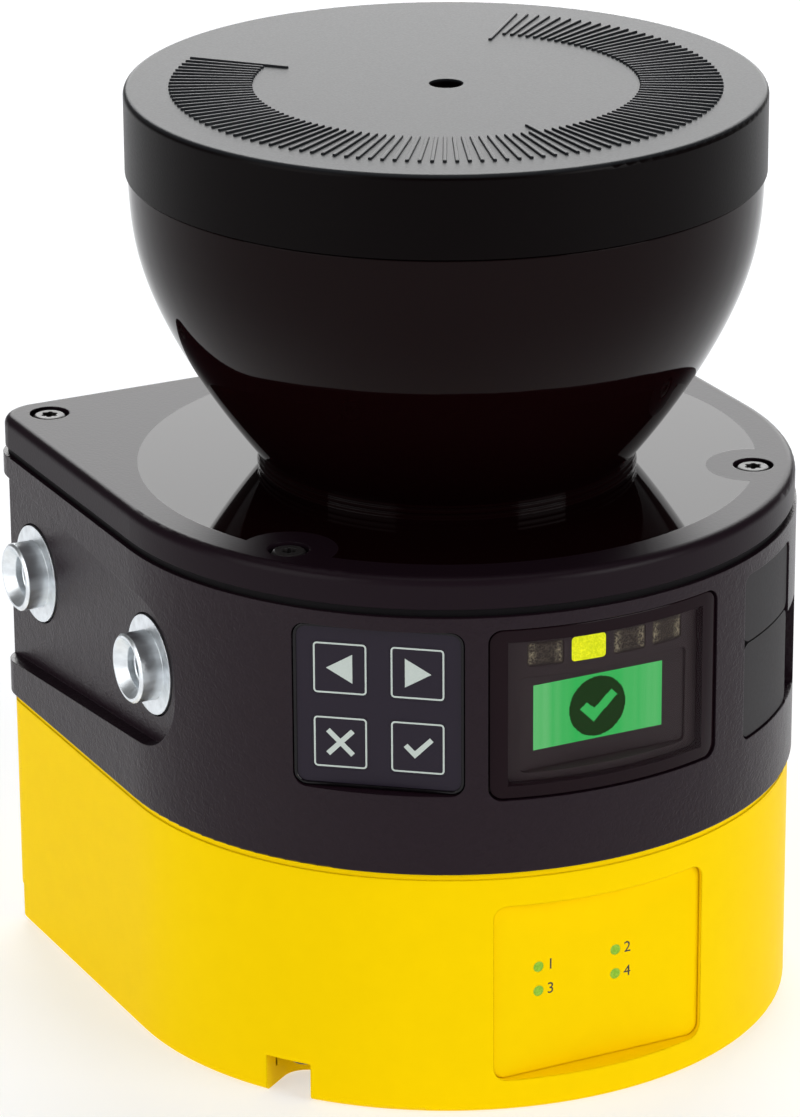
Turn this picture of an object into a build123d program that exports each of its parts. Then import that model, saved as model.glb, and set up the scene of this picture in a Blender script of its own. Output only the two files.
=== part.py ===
"""Safety laser scanner: a yellow base, a black housing, a dark optics cover and a scan head.

Millimetres, +Z up.  The origin is on the scan axis, at the underside of the base.
The front of the scanner faces -Y.  Angles round the scan axis are counted from the
front and grow towards +X.
"""
import os
from math import cos, degrees, radians, sin, sqrt, tan

from build123d import *

# ---------------------------------------------------------------- driving dimensions
# Outline of the whole body, seen from above: round in front, flat behind
body_radius = 56.0
body_back = 55.3
corner_radius = 6.5
edge_round = 0.8

# Heights of the stacked casings
base_height = 40.7
housing_height = 42.4
cover_gap = 1.3
lid_thickness = 5.0
neck_height = 2.4
scan_above_neck = 20.2
bowl_above_scan = 25.6
cap_gap = 0.3
cap_height = 13.0

# Walls; cuts run past the faces they open by the overrun
overrun = 2.0
least_corner = 0.5
base_wall = 3.0
base_floor = 3.0
base_inset = 0.6
housing_wall = 3.4
housing_floor = 3.0
wall_margin = 3.0
wall_below_rim = 2.0
wall_cut = 12.0
lid_wall = 3.0
lid_inset = 0.3
lid_rounding = 1.44
bowl_wall = 2.4
cap_wall = 2.2

# Optics cover and cap
neck_radius = 30.3
neck_ring_depth = 0.25
neck_ring_width = 0.3
neck_rings = (0.35, 0.75)
bowl_radius = 50.0
bowl_points = {0.354: 0.565, 0.703: 0.92}  # share of the height: share of the widening
bowl_start = (0.62, 0.78)
bowl_end = (0.03, 1.0)
cap_overhang = 0.4
cap_edge_round = 0.9
spigot_depth = 3.2
spigot_clearance = 0.2
spigot_wall = 1.8
seal_inset = 0.5

# Angle scale on the cap
scan_range = 275.0
rib_pitch = 2.5
rib_length = 13.1
rib_margin = 7.1
long_rib_length = 16.8
long_ribs = 3
rib_width = 0.62
rib_height = 0.3
rib_rounding = 0.2
gate_radius = 2.7
gate_depth = 1.2

# Seals between the casings
gasket_width = 1.6
gasket_inset = 0.8
gasket_groove = 0.8
rim_step_height = 1.1
rim_step = 0.25

# Screws: the cover is held from above, the base from below
cover_screw_set_in = 7.0
cover_screw_angle = 56.8
cover_screw_side = 7.6
cover_screw_behind = 7.1
cover_head_radius = 2.75
cover_head_height = 1.5
cover_shank_radius = 1.5
cover_shank_length = 10.0
cover_bore_radius = 3.25
cover_bore_depth = 1.7
cover_boss_radius = 4.3
cover_boss_height = 9.0
cover_thread_spare = 2.0
base_screw_set_in = 5.9
base_screw_left_angle = -54.3
base_screw_right_angle = 68.0
base_screw_side = 8.6
base_screw_behind = 8.6
base_head_radius = 2.9
base_head_height = 2.3
base_shank_radius = 2.0
base_screw_grip = 5.5
base_column_radius = 4.6
column_roof = 1.0
pocket_radius = 3.9
pocket_height = 6.2
back_pocket_angle = 135.0
shank_clearance = 0.2
driver_radius = 1.35
driver_depth = 1.0
head_rounding = 0.45
lobe_core = 0.78
lobe_circle = 0.72
lobe_size = 0.3

# Keypad on the left front
keypad_angle = -38.4
keypad_set_in = 2.0
keypad_width = 26.9
keypad_top_drop = 2.3
keypad_corner = 2.2
keypad_foil = 0.9
keypad_wall = 2.6
keypad_border = 2.7
foil_gap = 0.15
opening_corner = 1.5
key_size = 8.4
key_pitch_x = 12.06
key_pitch_z = 12.17
key_plate = 1.3
key_stem_radius = 2.0
key_travel = 0.3
key_gap = 0.3
key_corner = 0.5
key_rest_gap = 0.15
keypad_board_half_angle = 12.56
board_edge_gap = 0.5
board_thickness = 1.6
board_corner = 1.0
dome_height = 0.25
dome_radius = 2.6

# Display on the front
window_half_angle = 20.7
window_low_rise = 12.4
window_top_drop = 2.3
window_thickness = 1.5
window_corner = 2.2
window_recess = 0.3
window_gap = 0.2
bezel_half_angle = 18.5
bezel_border = 2.1
bezel_gap = 0.1
bezel_set_in = 7.1
screen_width = 22.5
screen_x = -0.7
screen_low_margin = 3.2
screen_high_margin = 1.9
module_width = 28.9
module_above_sill = 3.4
module_below_lights = 1.7
module_set_in = 4.2
module_thickness = 2.0
module_corner = 1.0
module_spacer_inset = 1.0
display_board_margin = 2.0
display_board_inset = 1.5
screen_thickness = 0.4
light_pitch = 7.5
light_count = 4
light_corner = 0.6
light_half_angle = 3.05
light_drop = 2.8
light_height = 4.0
light_depth = 3.4
light_recess = 0.1

# Service port and its rubber cover on the right front
port_angle = 38.3
port_half_angle = 9.4
port_low_rise = 12.2
port_top_drop = 2.8
port_hinge_rise = 28.15
port_cover_thickness = 1.6
port_corner = 1.6
port_gap = 0.3
port_rise = 19.1
port_width = 8.6
port_mouth_height = 4.8
port_shell = 0.4
port_depth = 7.0
port_wall = 3.0
port_set_back = 0.5
port_base = 1.0
port_board_width = 15.6
port_board_height = 13.0
port_tongue = 1.0
port_tongue_margin = 1.5
port_inner_corner = 0.5
port_mouth_corner = 0.8
finger_half_angle = 5.2
finger_low_rise = 12.0
finger_high_rise = 27.3
finger_depth = 2.6
finger_overlap = 1.0

# Recesses for the connectors on both sides
recess_depth = 2.4
recess_front = -13.0
recess_bottom_rise = 6.3
recess_top_drop = 2.1
recess_front_narrowing = 5.3
recess_straight = 1.2
recess_back_drop = 1.0
side_wall = 3.2

# Connectors
socket_back_y = 43.0
socket_front_y = -2.1
socket_radius = 5.6
socket_flange_radius = 8.05
socket_flange_thickness = 1.1
socket_flange_stand = 0.3
socket_length = 3.8
socket_chamfer = 0.35
socket_thread_radius = 3.46
socket_funnel_radius = 4.85
socket_funnel_depth = 1.7
socket_thread_length = 4.6
flange_gap = 0.3
socket_clearance = 0.13
seal_thickness = 0.6
connector_seal_inset = 0.4
nut_radius = 7.6
nut_thickness = 2.0
thread_spare = 1.5
insert_tail = 2.0
nut_sides = 6
insert_radius = 3.0
insert_set_back = 0.4
contact_radius = 0.42
contact_circle = 1.4
contact_count = 4
contact_turn = 45.0
contact_set_back = 0.3
contact_bore = 0.55
contact_bore_depth = 3.0
contact_tail = 3.0
insert_key = 0.8
inlet_y = 24.0
inlet_thread_radius = 6.0
inlet_length = 5.0
inlet_bore_radius = 4.5
inlet_chamfer = 0.5
inlet_pin_length = 4.0
inlet_pin_radius = 0.5
inlet_pin_circle = 2.5

# Network label on the base
label_set_in = 3.7
label_width = 36.7
label_height = 29.8
label_x = -0.5
label_z = 20.0
label_corner = 2.2
label_foil = 0.4
label_gap = 0.1
label_light_radius = 0.87
label_light_x = -4.0
label_light_z = 20.9
label_light_pitch_x = 13.65
label_light_pitch_z = 4.12
pad_thickness = 3.1
foot_radius = 1.6
foot_height = 1.2
foot_root = 0.5
foot_inset_x = 4.0
foot_inset_z = 3.0

# Mounting threads in the back of the base (M5)
rear_thread_radius = 2.1
rear_thread_depth = 8.0
rear_boss_radius = 5.0
rear_spacing_x = 72.0
rear_spacing_z = 20.0
rear_pattern_z = 20.5

# Scan mechanism
mirror_radius = 17.0
mirror_thickness = 1.6
carrier_radius = 16.0
carrier_top_gap = 1.1
carrier_cover = 0.64
carrier_pocket_y = 7.0
carrier_pocket_pitch = 13.0
carrier_pocket_width = 8.0
carrier_pocket_length = 12.0
carrier_pocket_corner = 1.5
carrier_roof = 4.0
shaft_radius = 2.0
shaft_hole_gap = 0.5
shaft_pocket = 1.2
shaft_end_gap = 0.4
shaft_grip = 5.0
bearing_radius = 5.0
bearing_width = 3.0
bearing_clearance = 0.02
can_radius = 18.0
can_wall = 1.5
flange_radius = 28.0
flange_thickness = 2.5
stator_gap = 0.7
magnet_radius = 8.5
magnet_gap = 0.4
magnet_top_gap = 1.0
stator_ring = 2.0
tooth_width = 2.6
stator_teeth = 9
encoder_radius = 24.0
encoder_thickness = 0.6
encoder_slots = 36
slot_inset = 1.2
slot_length = 1.6
slot_width = 1.4
fork_gap = 0.8
fork_jaw = 1.8
fork_reach = 3.0
fork_half_width = 3.5
fork_inset = 0.2

# Receiver and laser below the mirror
lens_radius = 24.6
lens_hole_radius = 6.0
lens_edge = 1.6
lens_crown = 2.6
lens_belly = 1.0
tube_wall = 2.0
tube_rise = 17.3
tray_room_x = 18.0
tray_room_y = 23.0
tray_y = 6.0
tray_drop = 4.4
tray_thickness = 2.5
tray_corner = 8.0
tray_hole_radius = 1.1
tube_rim = 1.0
lens_seat_height = 1.5
lens_seat_width = 1.2
seat_root = 0.5
window_radius = 5.0
ribbon_slot_width = 1.8
ribbon_slot_margin = 1.0
tray_post_inset = 6.0
post_radius = 3.0
board_post_inset = 4.0
laser_radius = 4.5
laser_rise = 21.3
laser_drop = 4.4
collimator_radius = 3.6
collimator_thickness = 1.8
collimator_depth = 1.0
collimator_rounding = 1.08
beam_radius = 2.8
beam_length = 10.0
emission_wall = 1.5
emission_rise = 6.2
spider_low_rise = 23.3
spider_high_rise = 29.3
vane_count = 3
vane_turn = 30.0
vane_width = 1.2
receiver_radius = 20.0
detector_size = 5.0
detector_height = 1.4
ribbon_thickness = 0.3
ribbon_width = 8.0
ribbon_gap = 0.9
ribbon_neck_gap = 0.7
ribbon_drop = 6.0
ribbon_rise = 1.0
ribbon_bend = 2.5

# Boards in the base and the housing
power_board_room_x = 23.4
power_board_room_y = 21.4
power_board_gap = 5.0
main_board_width = 56.0
main_board_length = 72.0
main_board_y = 6.0
main_board_gap = 6.3
connector_width = 30.0
connector_length = 9.0
connector_y = 20.0
connector_clearance = 2.0
network_board_width = 33.7
network_board_height = 28.8
network_chip_pitch = 15.0
network_chip_width = 11.0
network_chip_height = 14.0
network_chip_thickness = 2.5
power_corner = 3.0
coil_x = -16.0
coil_y = -8.0
coil_width = 18.0
coil_length = 20.0
coil_height = 13.0
coil_corner = 1.5
capacitor_x = 12.0
capacitor_y = -14.0
capacitor_pitch_x = 11.0
capacitor_pitch_y = 12.0
capacitor_radius = 4.2
capacitor_height = 11.0
chip_size = 14.0
chip_pitch = 22.0
chip_y = -14.0
memory_width = 10.0
memory_length = 7.0
memory_pitch = 16.0
memory_y = 16.0
chip_thickness = 1.8
connector_step = 1.0

# ---------------------------------------------------------------- derived sizes
housing_bottom = base_height
housing_top = housing_bottom + housing_height
lid_bottom = housing_top + cover_gap
lid_top = lid_bottom + lid_thickness
neck_top = lid_top + neck_height
scan_height = neck_top + scan_above_neck
bowl_top = scan_height + bowl_above_scan
bowl_height = bowl_top - neck_top
cap_bottom = bowl_top + cap_gap
cap_top = cap_bottom + cap_height
cap_under = cap_top - cap_wall
base_radius = body_radius - base_inset
base_back = body_back - base_inset
floor_top = housing_bottom + housing_floor
# Places in the housing, counted from its underside, its top and its round front
keypad_face = body_radius - keypad_set_in
keypad_height_z = housing_top - keypad_top_drop - keypad_width / 2
window_low = housing_bottom + window_low_rise
window_high = housing_top - window_top_drop
bezel_back = body_radius - bezel_set_in
light_high = window_high - light_drop
light_low = light_high - light_height
module_low = window_low + module_above_sill
module_high = light_low - module_below_lights
module_z = (module_low + module_high) / 2
module_height = module_high - module_low
module_face = body_radius - module_set_in
screen_low = module_low + screen_low_margin
screen_high = module_high - screen_high_margin
screen_z = (screen_low + screen_high) / 2
screen_height = screen_high - screen_low
port_low = housing_bottom + port_low_rise
port_high = housing_top - port_top_drop
port_hinge_z = housing_bottom + port_hinge_rise
port_z = housing_bottom + port_rise
finger_low = housing_bottom + finger_low_rise
finger_high = housing_bottom + finger_high_rise
recess_half_back = (housing_height - recess_top_drop - recess_bottom_rise) / 2
recess_half_front = recess_half_back - recess_front_narrowing
recess_corner = recess_half_front - recess_straight
recess_z = housing_bottom + recess_bottom_rise + recess_half_back
# Places in the base, counted from its outline
label_face = base_radius - label_set_in
base_screw_radius = base_radius - base_screw_set_in
base_screw_back_x = base_radius - base_screw_side
base_screw_back_y = base_back - base_screw_behind
cover_screw_back_x = body_radius - cover_screw_side
cover_screw_back_y = body_back - cover_screw_behind
cover_screw_radius = body_radius - cover_screw_set_in
cover_screw_front_x = cover_screw_radius * sin(radians(cover_screw_angle))
cover_screw_front_y = -cover_screw_radius * cos(radians(cover_screw_angle))
base_shank_length = housing_bottom + base_screw_grip - pocket_height
# Cap and scale follow the bowl
cap_radius = bowl_radius + cap_overhang
rib_outer = cap_radius - rib_margin
rib_inner = rib_outer - rib_length
long_rib_inner = rib_outer - long_rib_length
# Optics inside, hung from the lid or stood on the housing floor
tube_bottom = housing_bottom + tube_rise
laser_bottom = housing_bottom + laser_rise
spider_low = housing_bottom + spider_low_rise
spider_high = housing_bottom + spider_high_rise
tray_z = lid_bottom - tray_drop
laser_top = lid_bottom - laser_drop
emission_top = neck_top + emission_rise
lens_z = lid_bottom
tray_length = 2 * (body_radius - tray_room_y)
tray_width = 2 * (body_radius - tray_room_x)
power_board_length = 2 * (base_radius - power_board_room_y)
power_board_width = 2 * (base_radius - power_board_room_x)
tray_post_x = tray_width / 2 - tray_post_inset
tray_post_front = tray_y - tray_length / 2 + tray_post_inset
tray_post_back = tray_y + tray_length / 2 - tray_post_inset
front = -90.0  # the front of the scanner as an angle counted from +X


def around(angle, radius):
    """Point at a radius from the scan axis, its angle counted from the front."""
    return radius * sin(radians(angle)), -radius * cos(radians(angle))


def facing(angle, distance, height=0.0):
    """Plane that looks straight out from the scan axis, its X running to the right."""
    x, y = around(angle, distance)
    return Plane(
        origin=(x, y, height),
        x_dir=(cos(radians(angle)), sin(radians(angle)), 0),
        z_dir=(sin(radians(angle)), -cos(radians(angle)), 0),
    )


def side_plane(side, distance):
    """Plane that looks out of the left (-1) or right (+1) side, its local X along Y."""
    return Plane(origin=(side * distance, 0, 0), x_dir=(0, side, 0), z_dir=(side, 0, 0))


def body_outline(radius, back, corner):
    """The casing's outline from above: a half circle, straight sides, round back corners."""
    with BuildSketch() as outline:
        with BuildLine():
            ThreePointArc((-radius, 0), (0, -radius), (radius, 0))
            Polyline((radius, 0), (radius, back), (-radius, back), (-radius, 0))
        make_face()
        fillet(outline.vertices().group_by(Axis.Y)[-1], corner)
    return outline.sketch


def ring_outline(radius, back, corner, width):
    """A closed band that runs inside the casing's outline."""
    with BuildSketch() as band:
        add(body_outline(radius, back, corner))
        add(
            body_outline(radius - width, back - width, max(corner - width, least_corner)),
            mode=Mode.SUBTRACT,
        )
    return band.sketch


def curved_panel(inner, outer, middle, half_angle, low, high, corner):
    """A plate bent round the scan axis, its four corners rounded."""
    with BuildPart() as panel:
        with BuildSketch(Plane.XY.offset(low)):
            with BuildLine():
                start = front + middle - half_angle
                far = CenterArc((0, 0), outer, start, 2 * half_angle)
                near = CenterArc((0, 0), inner, start, 2 * half_angle)
                Line(far @ 0, near @ 0)
                Line(far @ 1, near @ 1)
            make_face()
        extrude(amount=high - low)
        radial = panel.edges().filter_by(GeomType.LINE).filter_by(Axis.Z, reverse=True)
        fillet(radial, corner)
    return panel.part


def pan_screw(head_radius, head_height, shank_radius, shank_length):
    """A pan-head screw standing on its shank's tip, with a six-lobed driver recess."""
    with BuildPart() as screw:
        Cylinder(shank_radius, shank_length, align=(Align.CENTER, Align.CENTER, Align.MAX))
        Cylinder(head_radius, head_height, align=(Align.CENTER, Align.CENTER, Align.MIN))
        fillet(screw.edges().group_by(Axis.Z)[-1], head_height * head_rounding)
        with BuildSketch(Plane.XY.offset(head_height)):
            Circle(driver_radius * lobe_core)
            with PolarLocations(driver_radius * lobe_circle, 6):
                Circle(driver_radius * lobe_size)
        extrude(amount=-driver_depth, mode=Mode.SUBTRACT)
    return screw.part


def pan_screws(places, height, turned, screw):
    """The same screw in several places, heads up or heads down, as separate solids."""
    seat = Plane.XY.offset(height)
    if turned:
        seat = Plane(origin=(0, 0, height), x_dir=(1, 0, 0), z_dir=(0, 0, -1))
    with BuildPart() as group:
        for x, y in places:
            with Locations(seat * Location((x, -y if turned else y, 0))):
                add(screw)
    return group


def save(part, name):
    """Label a finished piece and write it to its own STEP file."""
    part.label = name
    export_step(part, f"parts/{name}.step")


os.makedirs("parts", exist_ok=True)

cover_screw_places = [
    (-cover_screw_front_x, cover_screw_front_y),
    (cover_screw_front_x, cover_screw_front_y),
    (-cover_screw_back_x, cover_screw_back_y),
    (cover_screw_back_x, cover_screw_back_y),
]
base_screw_angles = [base_screw_left_angle, base_screw_right_angle]
base_screw_places = [around(angle, base_screw_radius) for angle in base_screw_angles]
base_screw_places += [
    (-base_screw_back_x, base_screw_back_y),
    (base_screw_back_x, base_screw_back_y),
]
pocket_directions = base_screw_angles + [-back_pocket_angle, back_pocket_angle]

# ---------------------------------------------------------------- base housing
label_back = label_face - label_foil - pad_thickness
with BuildPart() as base_housing:
    with BuildSketch():
        add(body_outline(base_radius, base_back, corner_radius))
    extrude(amount=base_height)
    fillet(base_housing.edges().group_by(Axis.Z)[0], edge_round)
    # the rim is set back a little above a fine line
    with BuildSketch(Plane.XY.offset(base_height - rim_step_height)):
        add(ring_outline(base_radius, base_back, corner_radius, rim_step))
    extrude(amount=rim_step_height, mode=Mode.SUBTRACT)
    with BuildSketch(Plane.XY.offset(base_floor)):
        add(
            body_outline(
                base_radius - base_wall, base_back - base_wall, corner_radius - base_wall
            )
        )
    extrude(amount=base_height, mode=Mode.SUBTRACT)
    # thick flat wall behind the label, and columns for the screws
    with BuildSketch(Plane.XY.offset(base_floor)):
        add(body_outline(base_radius, base_back, corner_radius))
        with Locations((label_x, -base_radius)):
            Rectangle(
                label_width + 2 * base_wall,
                2 * (base_radius - label_back),
                mode=Mode.INTERSECT,
            )
    extrude(amount=base_height - rim_step_height - base_floor)
    with BuildSketch():
        with Locations(*base_screw_places):
            Circle(base_column_radius)
        add(body_outline(base_radius - edge_round, base_back - edge_round, corner_radius),
            mode=Mode.INTERSECT)
    extrude(amount=base_height)
    # threaded bosses for mounting from behind
    with BuildSketch(Plane.XZ.offset(-base_back + base_wall / 2)):
        with Locations((0, rear_pattern_z)):
            with GridLocations(rear_spacing_x, rear_spacing_z, 2, 2):
                Circle(rear_boss_radius)
    extrude(amount=rear_thread_depth)
    # posts under the power board
    with BuildSketch(Plane.XY.offset(base_floor / 2)):
        with GridLocations(power_board_width - 2 * board_post_inset,
                           power_board_length - 2 * board_post_inset, 2, 2):
            Circle(post_radius)
    extrude(amount=base_floor / 2 + power_board_gap)
    # small feet on the label wall carry the network board
    with BuildSketch(Plane.XZ.offset(label_back + foot_root)):
        with Locations((label_x, label_z)):
            with GridLocations(label_width - 2 * foot_inset_x,
                           label_height - 2 * foot_inset_z, 2, 2):
                Circle(foot_radius)
    extrude(amount=-foot_root - foot_height)
    # groove for the gasket
    with BuildSketch(Plane.XY.offset(base_height)):
        add(
            ring_outline(
                base_radius - gasket_inset,
                base_back - gasket_inset,
                corner_radius - gasket_inset,
                gasket_width,
            )
        )
    extrude(amount=-gasket_groove, mode=Mode.SUBTRACT)
    # flat recess for the label, with its holes for the light guides
    with BuildSketch(Plane.XZ.offset(label_face - label_foil)):
        with Locations((label_x, label_z)):
            RectangleRounded(label_width, label_height, label_corner)
    extrude(amount=2 * label_foil + body_radius - label_face, mode=Mode.SUBTRACT)
    with BuildSketch(Plane.XZ.offset(label_face)):
        with Locations((label_light_x, label_light_z)):
            with GridLocations(label_light_pitch_x, label_light_pitch_z, 2, 2):
                Circle(label_light_radius)
    extrude(amount=-pad_thickness - 2 * label_foil, mode=Mode.SUBTRACT)
    # screw holes, and the open pockets that their heads sit in
    with BuildSketch():
        with Locations(*base_screw_places):
            Circle(base_shank_radius + shank_clearance)
    extrude(amount=base_height, mode=Mode.SUBTRACT)
    for place, direction in zip(base_screw_places, pocket_directions):
        with BuildSketch(Plane(origin=(*place, 0))):
            Circle(pocket_radius)
            with Locations(around(direction, pocket_radius * 2)):
                Rectangle(2 * pocket_radius, 4 * pocket_radius, rotation=direction)
        extrude(amount=pocket_height, mode=Mode.SUBTRACT)
    with BuildSketch(Plane.XZ.offset(-base_back)):
        with Locations((0, rear_pattern_z)):
            with GridLocations(rear_spacing_x, rear_spacing_z, 2, 2):
                Circle(rear_thread_radius)
    extrude(amount=rear_thread_depth, mode=Mode.SUBTRACT)
save(base_housing.part, "base_housing")

with BuildPart() as base_gasket:
    with BuildSketch(Plane.XY.offset(base_height - gasket_groove)):
        add(
            ring_outline(
                base_radius - gasket_inset,
                base_back - gasket_inset,
                corner_radius - gasket_inset,
                gasket_width,
            )
        )
    extrude(amount=gasket_groove)
save(base_gasket.part, "base_gasket")

base_screws = pan_screws(
    base_screw_places,
    pocket_height,
    True,
    pan_screw(base_head_radius, base_head_height, base_shank_radius, base_shank_length),
)
save(base_screws.part, "base_screws")

# ---------------------------------------------------------------- middle housing
keypad_floor = keypad_face - keypad_foil
keypad_inner = keypad_floor - keypad_wall
keypad_board_width = 2 * keypad_inner * tan(radians(keypad_board_half_angle))
key_places = [
    (column * key_pitch_x / 2, keypad_height_z + row * key_pitch_z / 2)
    for row in (1, -1)
    for column in (-1, 1)
]
window_outer = body_radius - window_recess
window_inner = window_outer - window_thickness
port_floor = body_radius - port_cover_thickness - window_recess
side_floor = body_radius - recess_depth
side_inner = side_floor - side_wall
socket_places = [socket_front_y, socket_back_y]
tray_posts = [
    (side * tray_post_x, y) for side in (-1, 1) for y in (tray_post_front, tray_post_back)
]

with BuildPart() as middle_housing:
    with BuildSketch(Plane.XY.offset(housing_bottom)):
        add(body_outline(body_radius, body_back, corner_radius))
    extrude(amount=housing_height)
    fillet(middle_housing.edges().group_by(Axis.Z)[0], edge_round / 2)
    with BuildSketch(Plane.XY.offset(floor_top)):
        add(
            body_outline(
                body_radius - housing_wall,
                body_back - housing_wall,
                corner_radius - housing_wall,
            )
        )
    extrude(amount=housing_height, mode=Mode.SUBTRACT)
    # thick walls behind the side recesses, the keypad, the display and the port
    with BuildSketch(Plane.XY.offset(floor_top)):
        add(body_outline(body_radius - edge_round, body_back - edge_round, corner_radius))
        with BuildSketch(mode=Mode.INTERSECT):
            for side in (-1, 1):
                with Locations((side * (side_inner + body_radius) / 2, body_back / 2)):
                    Rectangle(body_radius - side_inner, body_back - 2 * recess_front)
            with Locations(around(keypad_angle, keypad_inner + body_radius / 2)):
                Rectangle(keypad_width + 2 * wall_margin, body_radius, rotation=keypad_angle)
            with Locations((0, -bezel_back - body_radius / 2)):
                Rectangle(2 * bezel_back * tan(radians(bezel_half_angle)) + 2 * wall_margin,
                          body_radius)
            with Locations(around(port_angle, port_floor - port_wall + body_radius / 2)):
                Rectangle(2 * port_floor * tan(radians(port_half_angle)) + 2 * wall_margin,
                          body_radius, rotation=port_angle)
    extrude(amount=housing_height - housing_floor - wall_below_rim)
    # bosses for the cover screws, columns for the base screws, posts for tray and board
    with BuildSketch(Plane.XY.offset(housing_top - cover_boss_height)):
        with Locations(*cover_screw_places):
            Circle(cover_boss_radius)
        add(body_outline(body_radius - edge_round, body_back - edge_round, corner_radius),
            mode=Mode.INTERSECT)
    extrude(amount=cover_boss_height)
    with BuildSketch(Plane.XY.offset(housing_bottom)):
        with Locations(*base_screw_places):
            Circle(base_column_radius)
        add(body_outline(body_radius - edge_round, body_back - edge_round, corner_radius),
            mode=Mode.INTERSECT)
    extrude(amount=housing_floor + main_board_gap)
    with BuildSketch(Plane.XY.offset(housing_bottom + housing_floor / 2)):
        with Locations(*tray_posts):
            Circle(post_radius)
    extrude(amount=tray_z - housing_bottom - housing_floor / 2)
    with BuildSketch(Plane.XY.offset(housing_bottom + housing_floor / 2)):
        with Locations((0, main_board_y)):
            with GridLocations(main_board_width - 2 * board_post_inset,
                           main_board_length - 2 * board_post_inset, 2, 2):
                Circle(post_radius)
    extrude(amount=housing_floor / 2 + main_board_gap)
    # side recesses, wider towards the back, with a round hole for each connector
    for side, places in ((-1, socket_places), (1, [inlet_y])):
        with BuildSketch(side_plane(side, side_floor)) as recess:
            with BuildLine():
                Polyline(
                    (side * recess_front, recess_z + recess_half_front),
                    (side * (body_back + overrun), recess_z + recess_half_back - recess_back_drop),
                    (side * (body_back + overrun), recess_z - recess_half_back - recess_back_drop),
                    (side * recess_front, recess_z - recess_half_front),
                    close=True,
                )
            make_face()
            ends = recess.vertices().sort_by(Axis.X, reverse=side < 0)
            fillet(ends[:2], recess_corner)
        extrude(amount=2 * recess_depth, mode=Mode.SUBTRACT)
        with BuildSketch(side_plane(side, side_floor)):
            for y in places:
                with Locations((side * y, recess_z)):
                    Circle(socket_flange_radius + flange_gap)
        extrude(amount=-(socket_flange_thickness - socket_flange_stand + seal_thickness),
                mode=Mode.SUBTRACT)
        with BuildSketch(side_plane(side, side_floor)):
            for y in places:
                with Locations((side * y, recess_z)):
                    Circle(socket_radius + socket_clearance)
        extrude(amount=-side_wall - overrun, mode=Mode.SUBTRACT)
    # keypad: a flat recess for the foil and an opening for the keys
    with BuildSketch(facing(keypad_angle, keypad_floor, keypad_height_z)):
        RectangleRounded(keypad_width, keypad_width, keypad_corner)
    extrude(amount=body_radius - keypad_floor, mode=Mode.SUBTRACT)
    with BuildSketch(facing(keypad_angle, keypad_floor, keypad_height_z)):
        RectangleRounded(keypad_width - 2 * keypad_border, keypad_width - 2 * keypad_border,
                         opening_corner)
    extrude(amount=-wall_cut, mode=Mode.SUBTRACT)
    # display: a shallow curved recess for the window, an opening for the bezel
    add(
        curved_panel(window_inner, body_radius + overrun, 0,
                     window_half_angle + degrees(window_gap / body_radius),
                     window_low - window_gap, window_high + window_gap, window_corner),
        mode=Mode.SUBTRACT,
    )
    add(
        curved_panel(bezel_back - wall_margin, window_inner + overrun, 0, bezel_half_angle,
                     window_low + bezel_border, window_high - bezel_border, window_corner),
        mode=Mode.SUBTRACT,
    )
    # service port: a curved recess for the cover, a finger recess beside it, the mouth
    add(
        curved_panel(port_floor, body_radius + overrun, port_angle,
                     port_half_angle + degrees(port_gap / body_radius),
                     port_low - port_gap, port_high, port_corner),
        mode=Mode.SUBTRACT,
    )
    add(
        curved_panel(body_radius - finger_depth, body_radius + overrun,
                     port_angle + port_half_angle + finger_half_angle - finger_overlap,
                     finger_half_angle,
                     finger_low, finger_high, port_corner),
        mode=Mode.SUBTRACT,
    )
    with BuildSketch(facing(port_angle, port_floor + overrun, port_z)):
        RectangleRounded(port_width, port_mouth_height, port_mouth_corner)
    extrude(amount=-wall_cut, mode=Mode.SUBTRACT)
    # passage for the connector between the boards, and the screw holes
    with BuildSketch(Plane.XY.offset(housing_bottom)):
        with Locations((0, connector_y)):
            Rectangle(connector_width + 2 * connector_clearance,
                      connector_length + 2 * connector_clearance)
        with Locations(*base_screw_places):
            Circle(base_shank_radius)
    extrude(amount=housing_floor + main_board_gap - column_roof, mode=Mode.SUBTRACT)
    with BuildSketch(Plane.XY.offset(housing_top)):
        with Locations(*cover_screw_places):
            Circle(cover_shank_radius)
    extrude(amount=-cover_boss_height + cover_thread_spare, mode=Mode.SUBTRACT)
save(middle_housing.part, "middle_housing")

with BuildPart() as cover_gasket:
    with BuildSketch(Plane.XY.offset(housing_top)):
        add(
            ring_outline(
                body_radius - gasket_inset,
                body_back - gasket_inset,
                corner_radius - gasket_inset,
                gasket_width,
            )
        )
    extrude(amount=cover_gap)
save(cover_gasket.part, "cover_gasket")

# ---------------------------------------------------------------- optics cover
def bowl_curve(low_radius, high_radius):
    """The bowl's profile from the neck up to the cap, in the sketch that is turned."""
    points = [
        (low_radius + widening * (high_radius - low_radius), neck_top + rise * bowl_height)
        for rise, widening in bowl_points.items()
    ]
    return Spline((low_radius, neck_top), *points, (high_radius, bowl_top),
                  tangents=[bowl_start, bowl_end])


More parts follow.
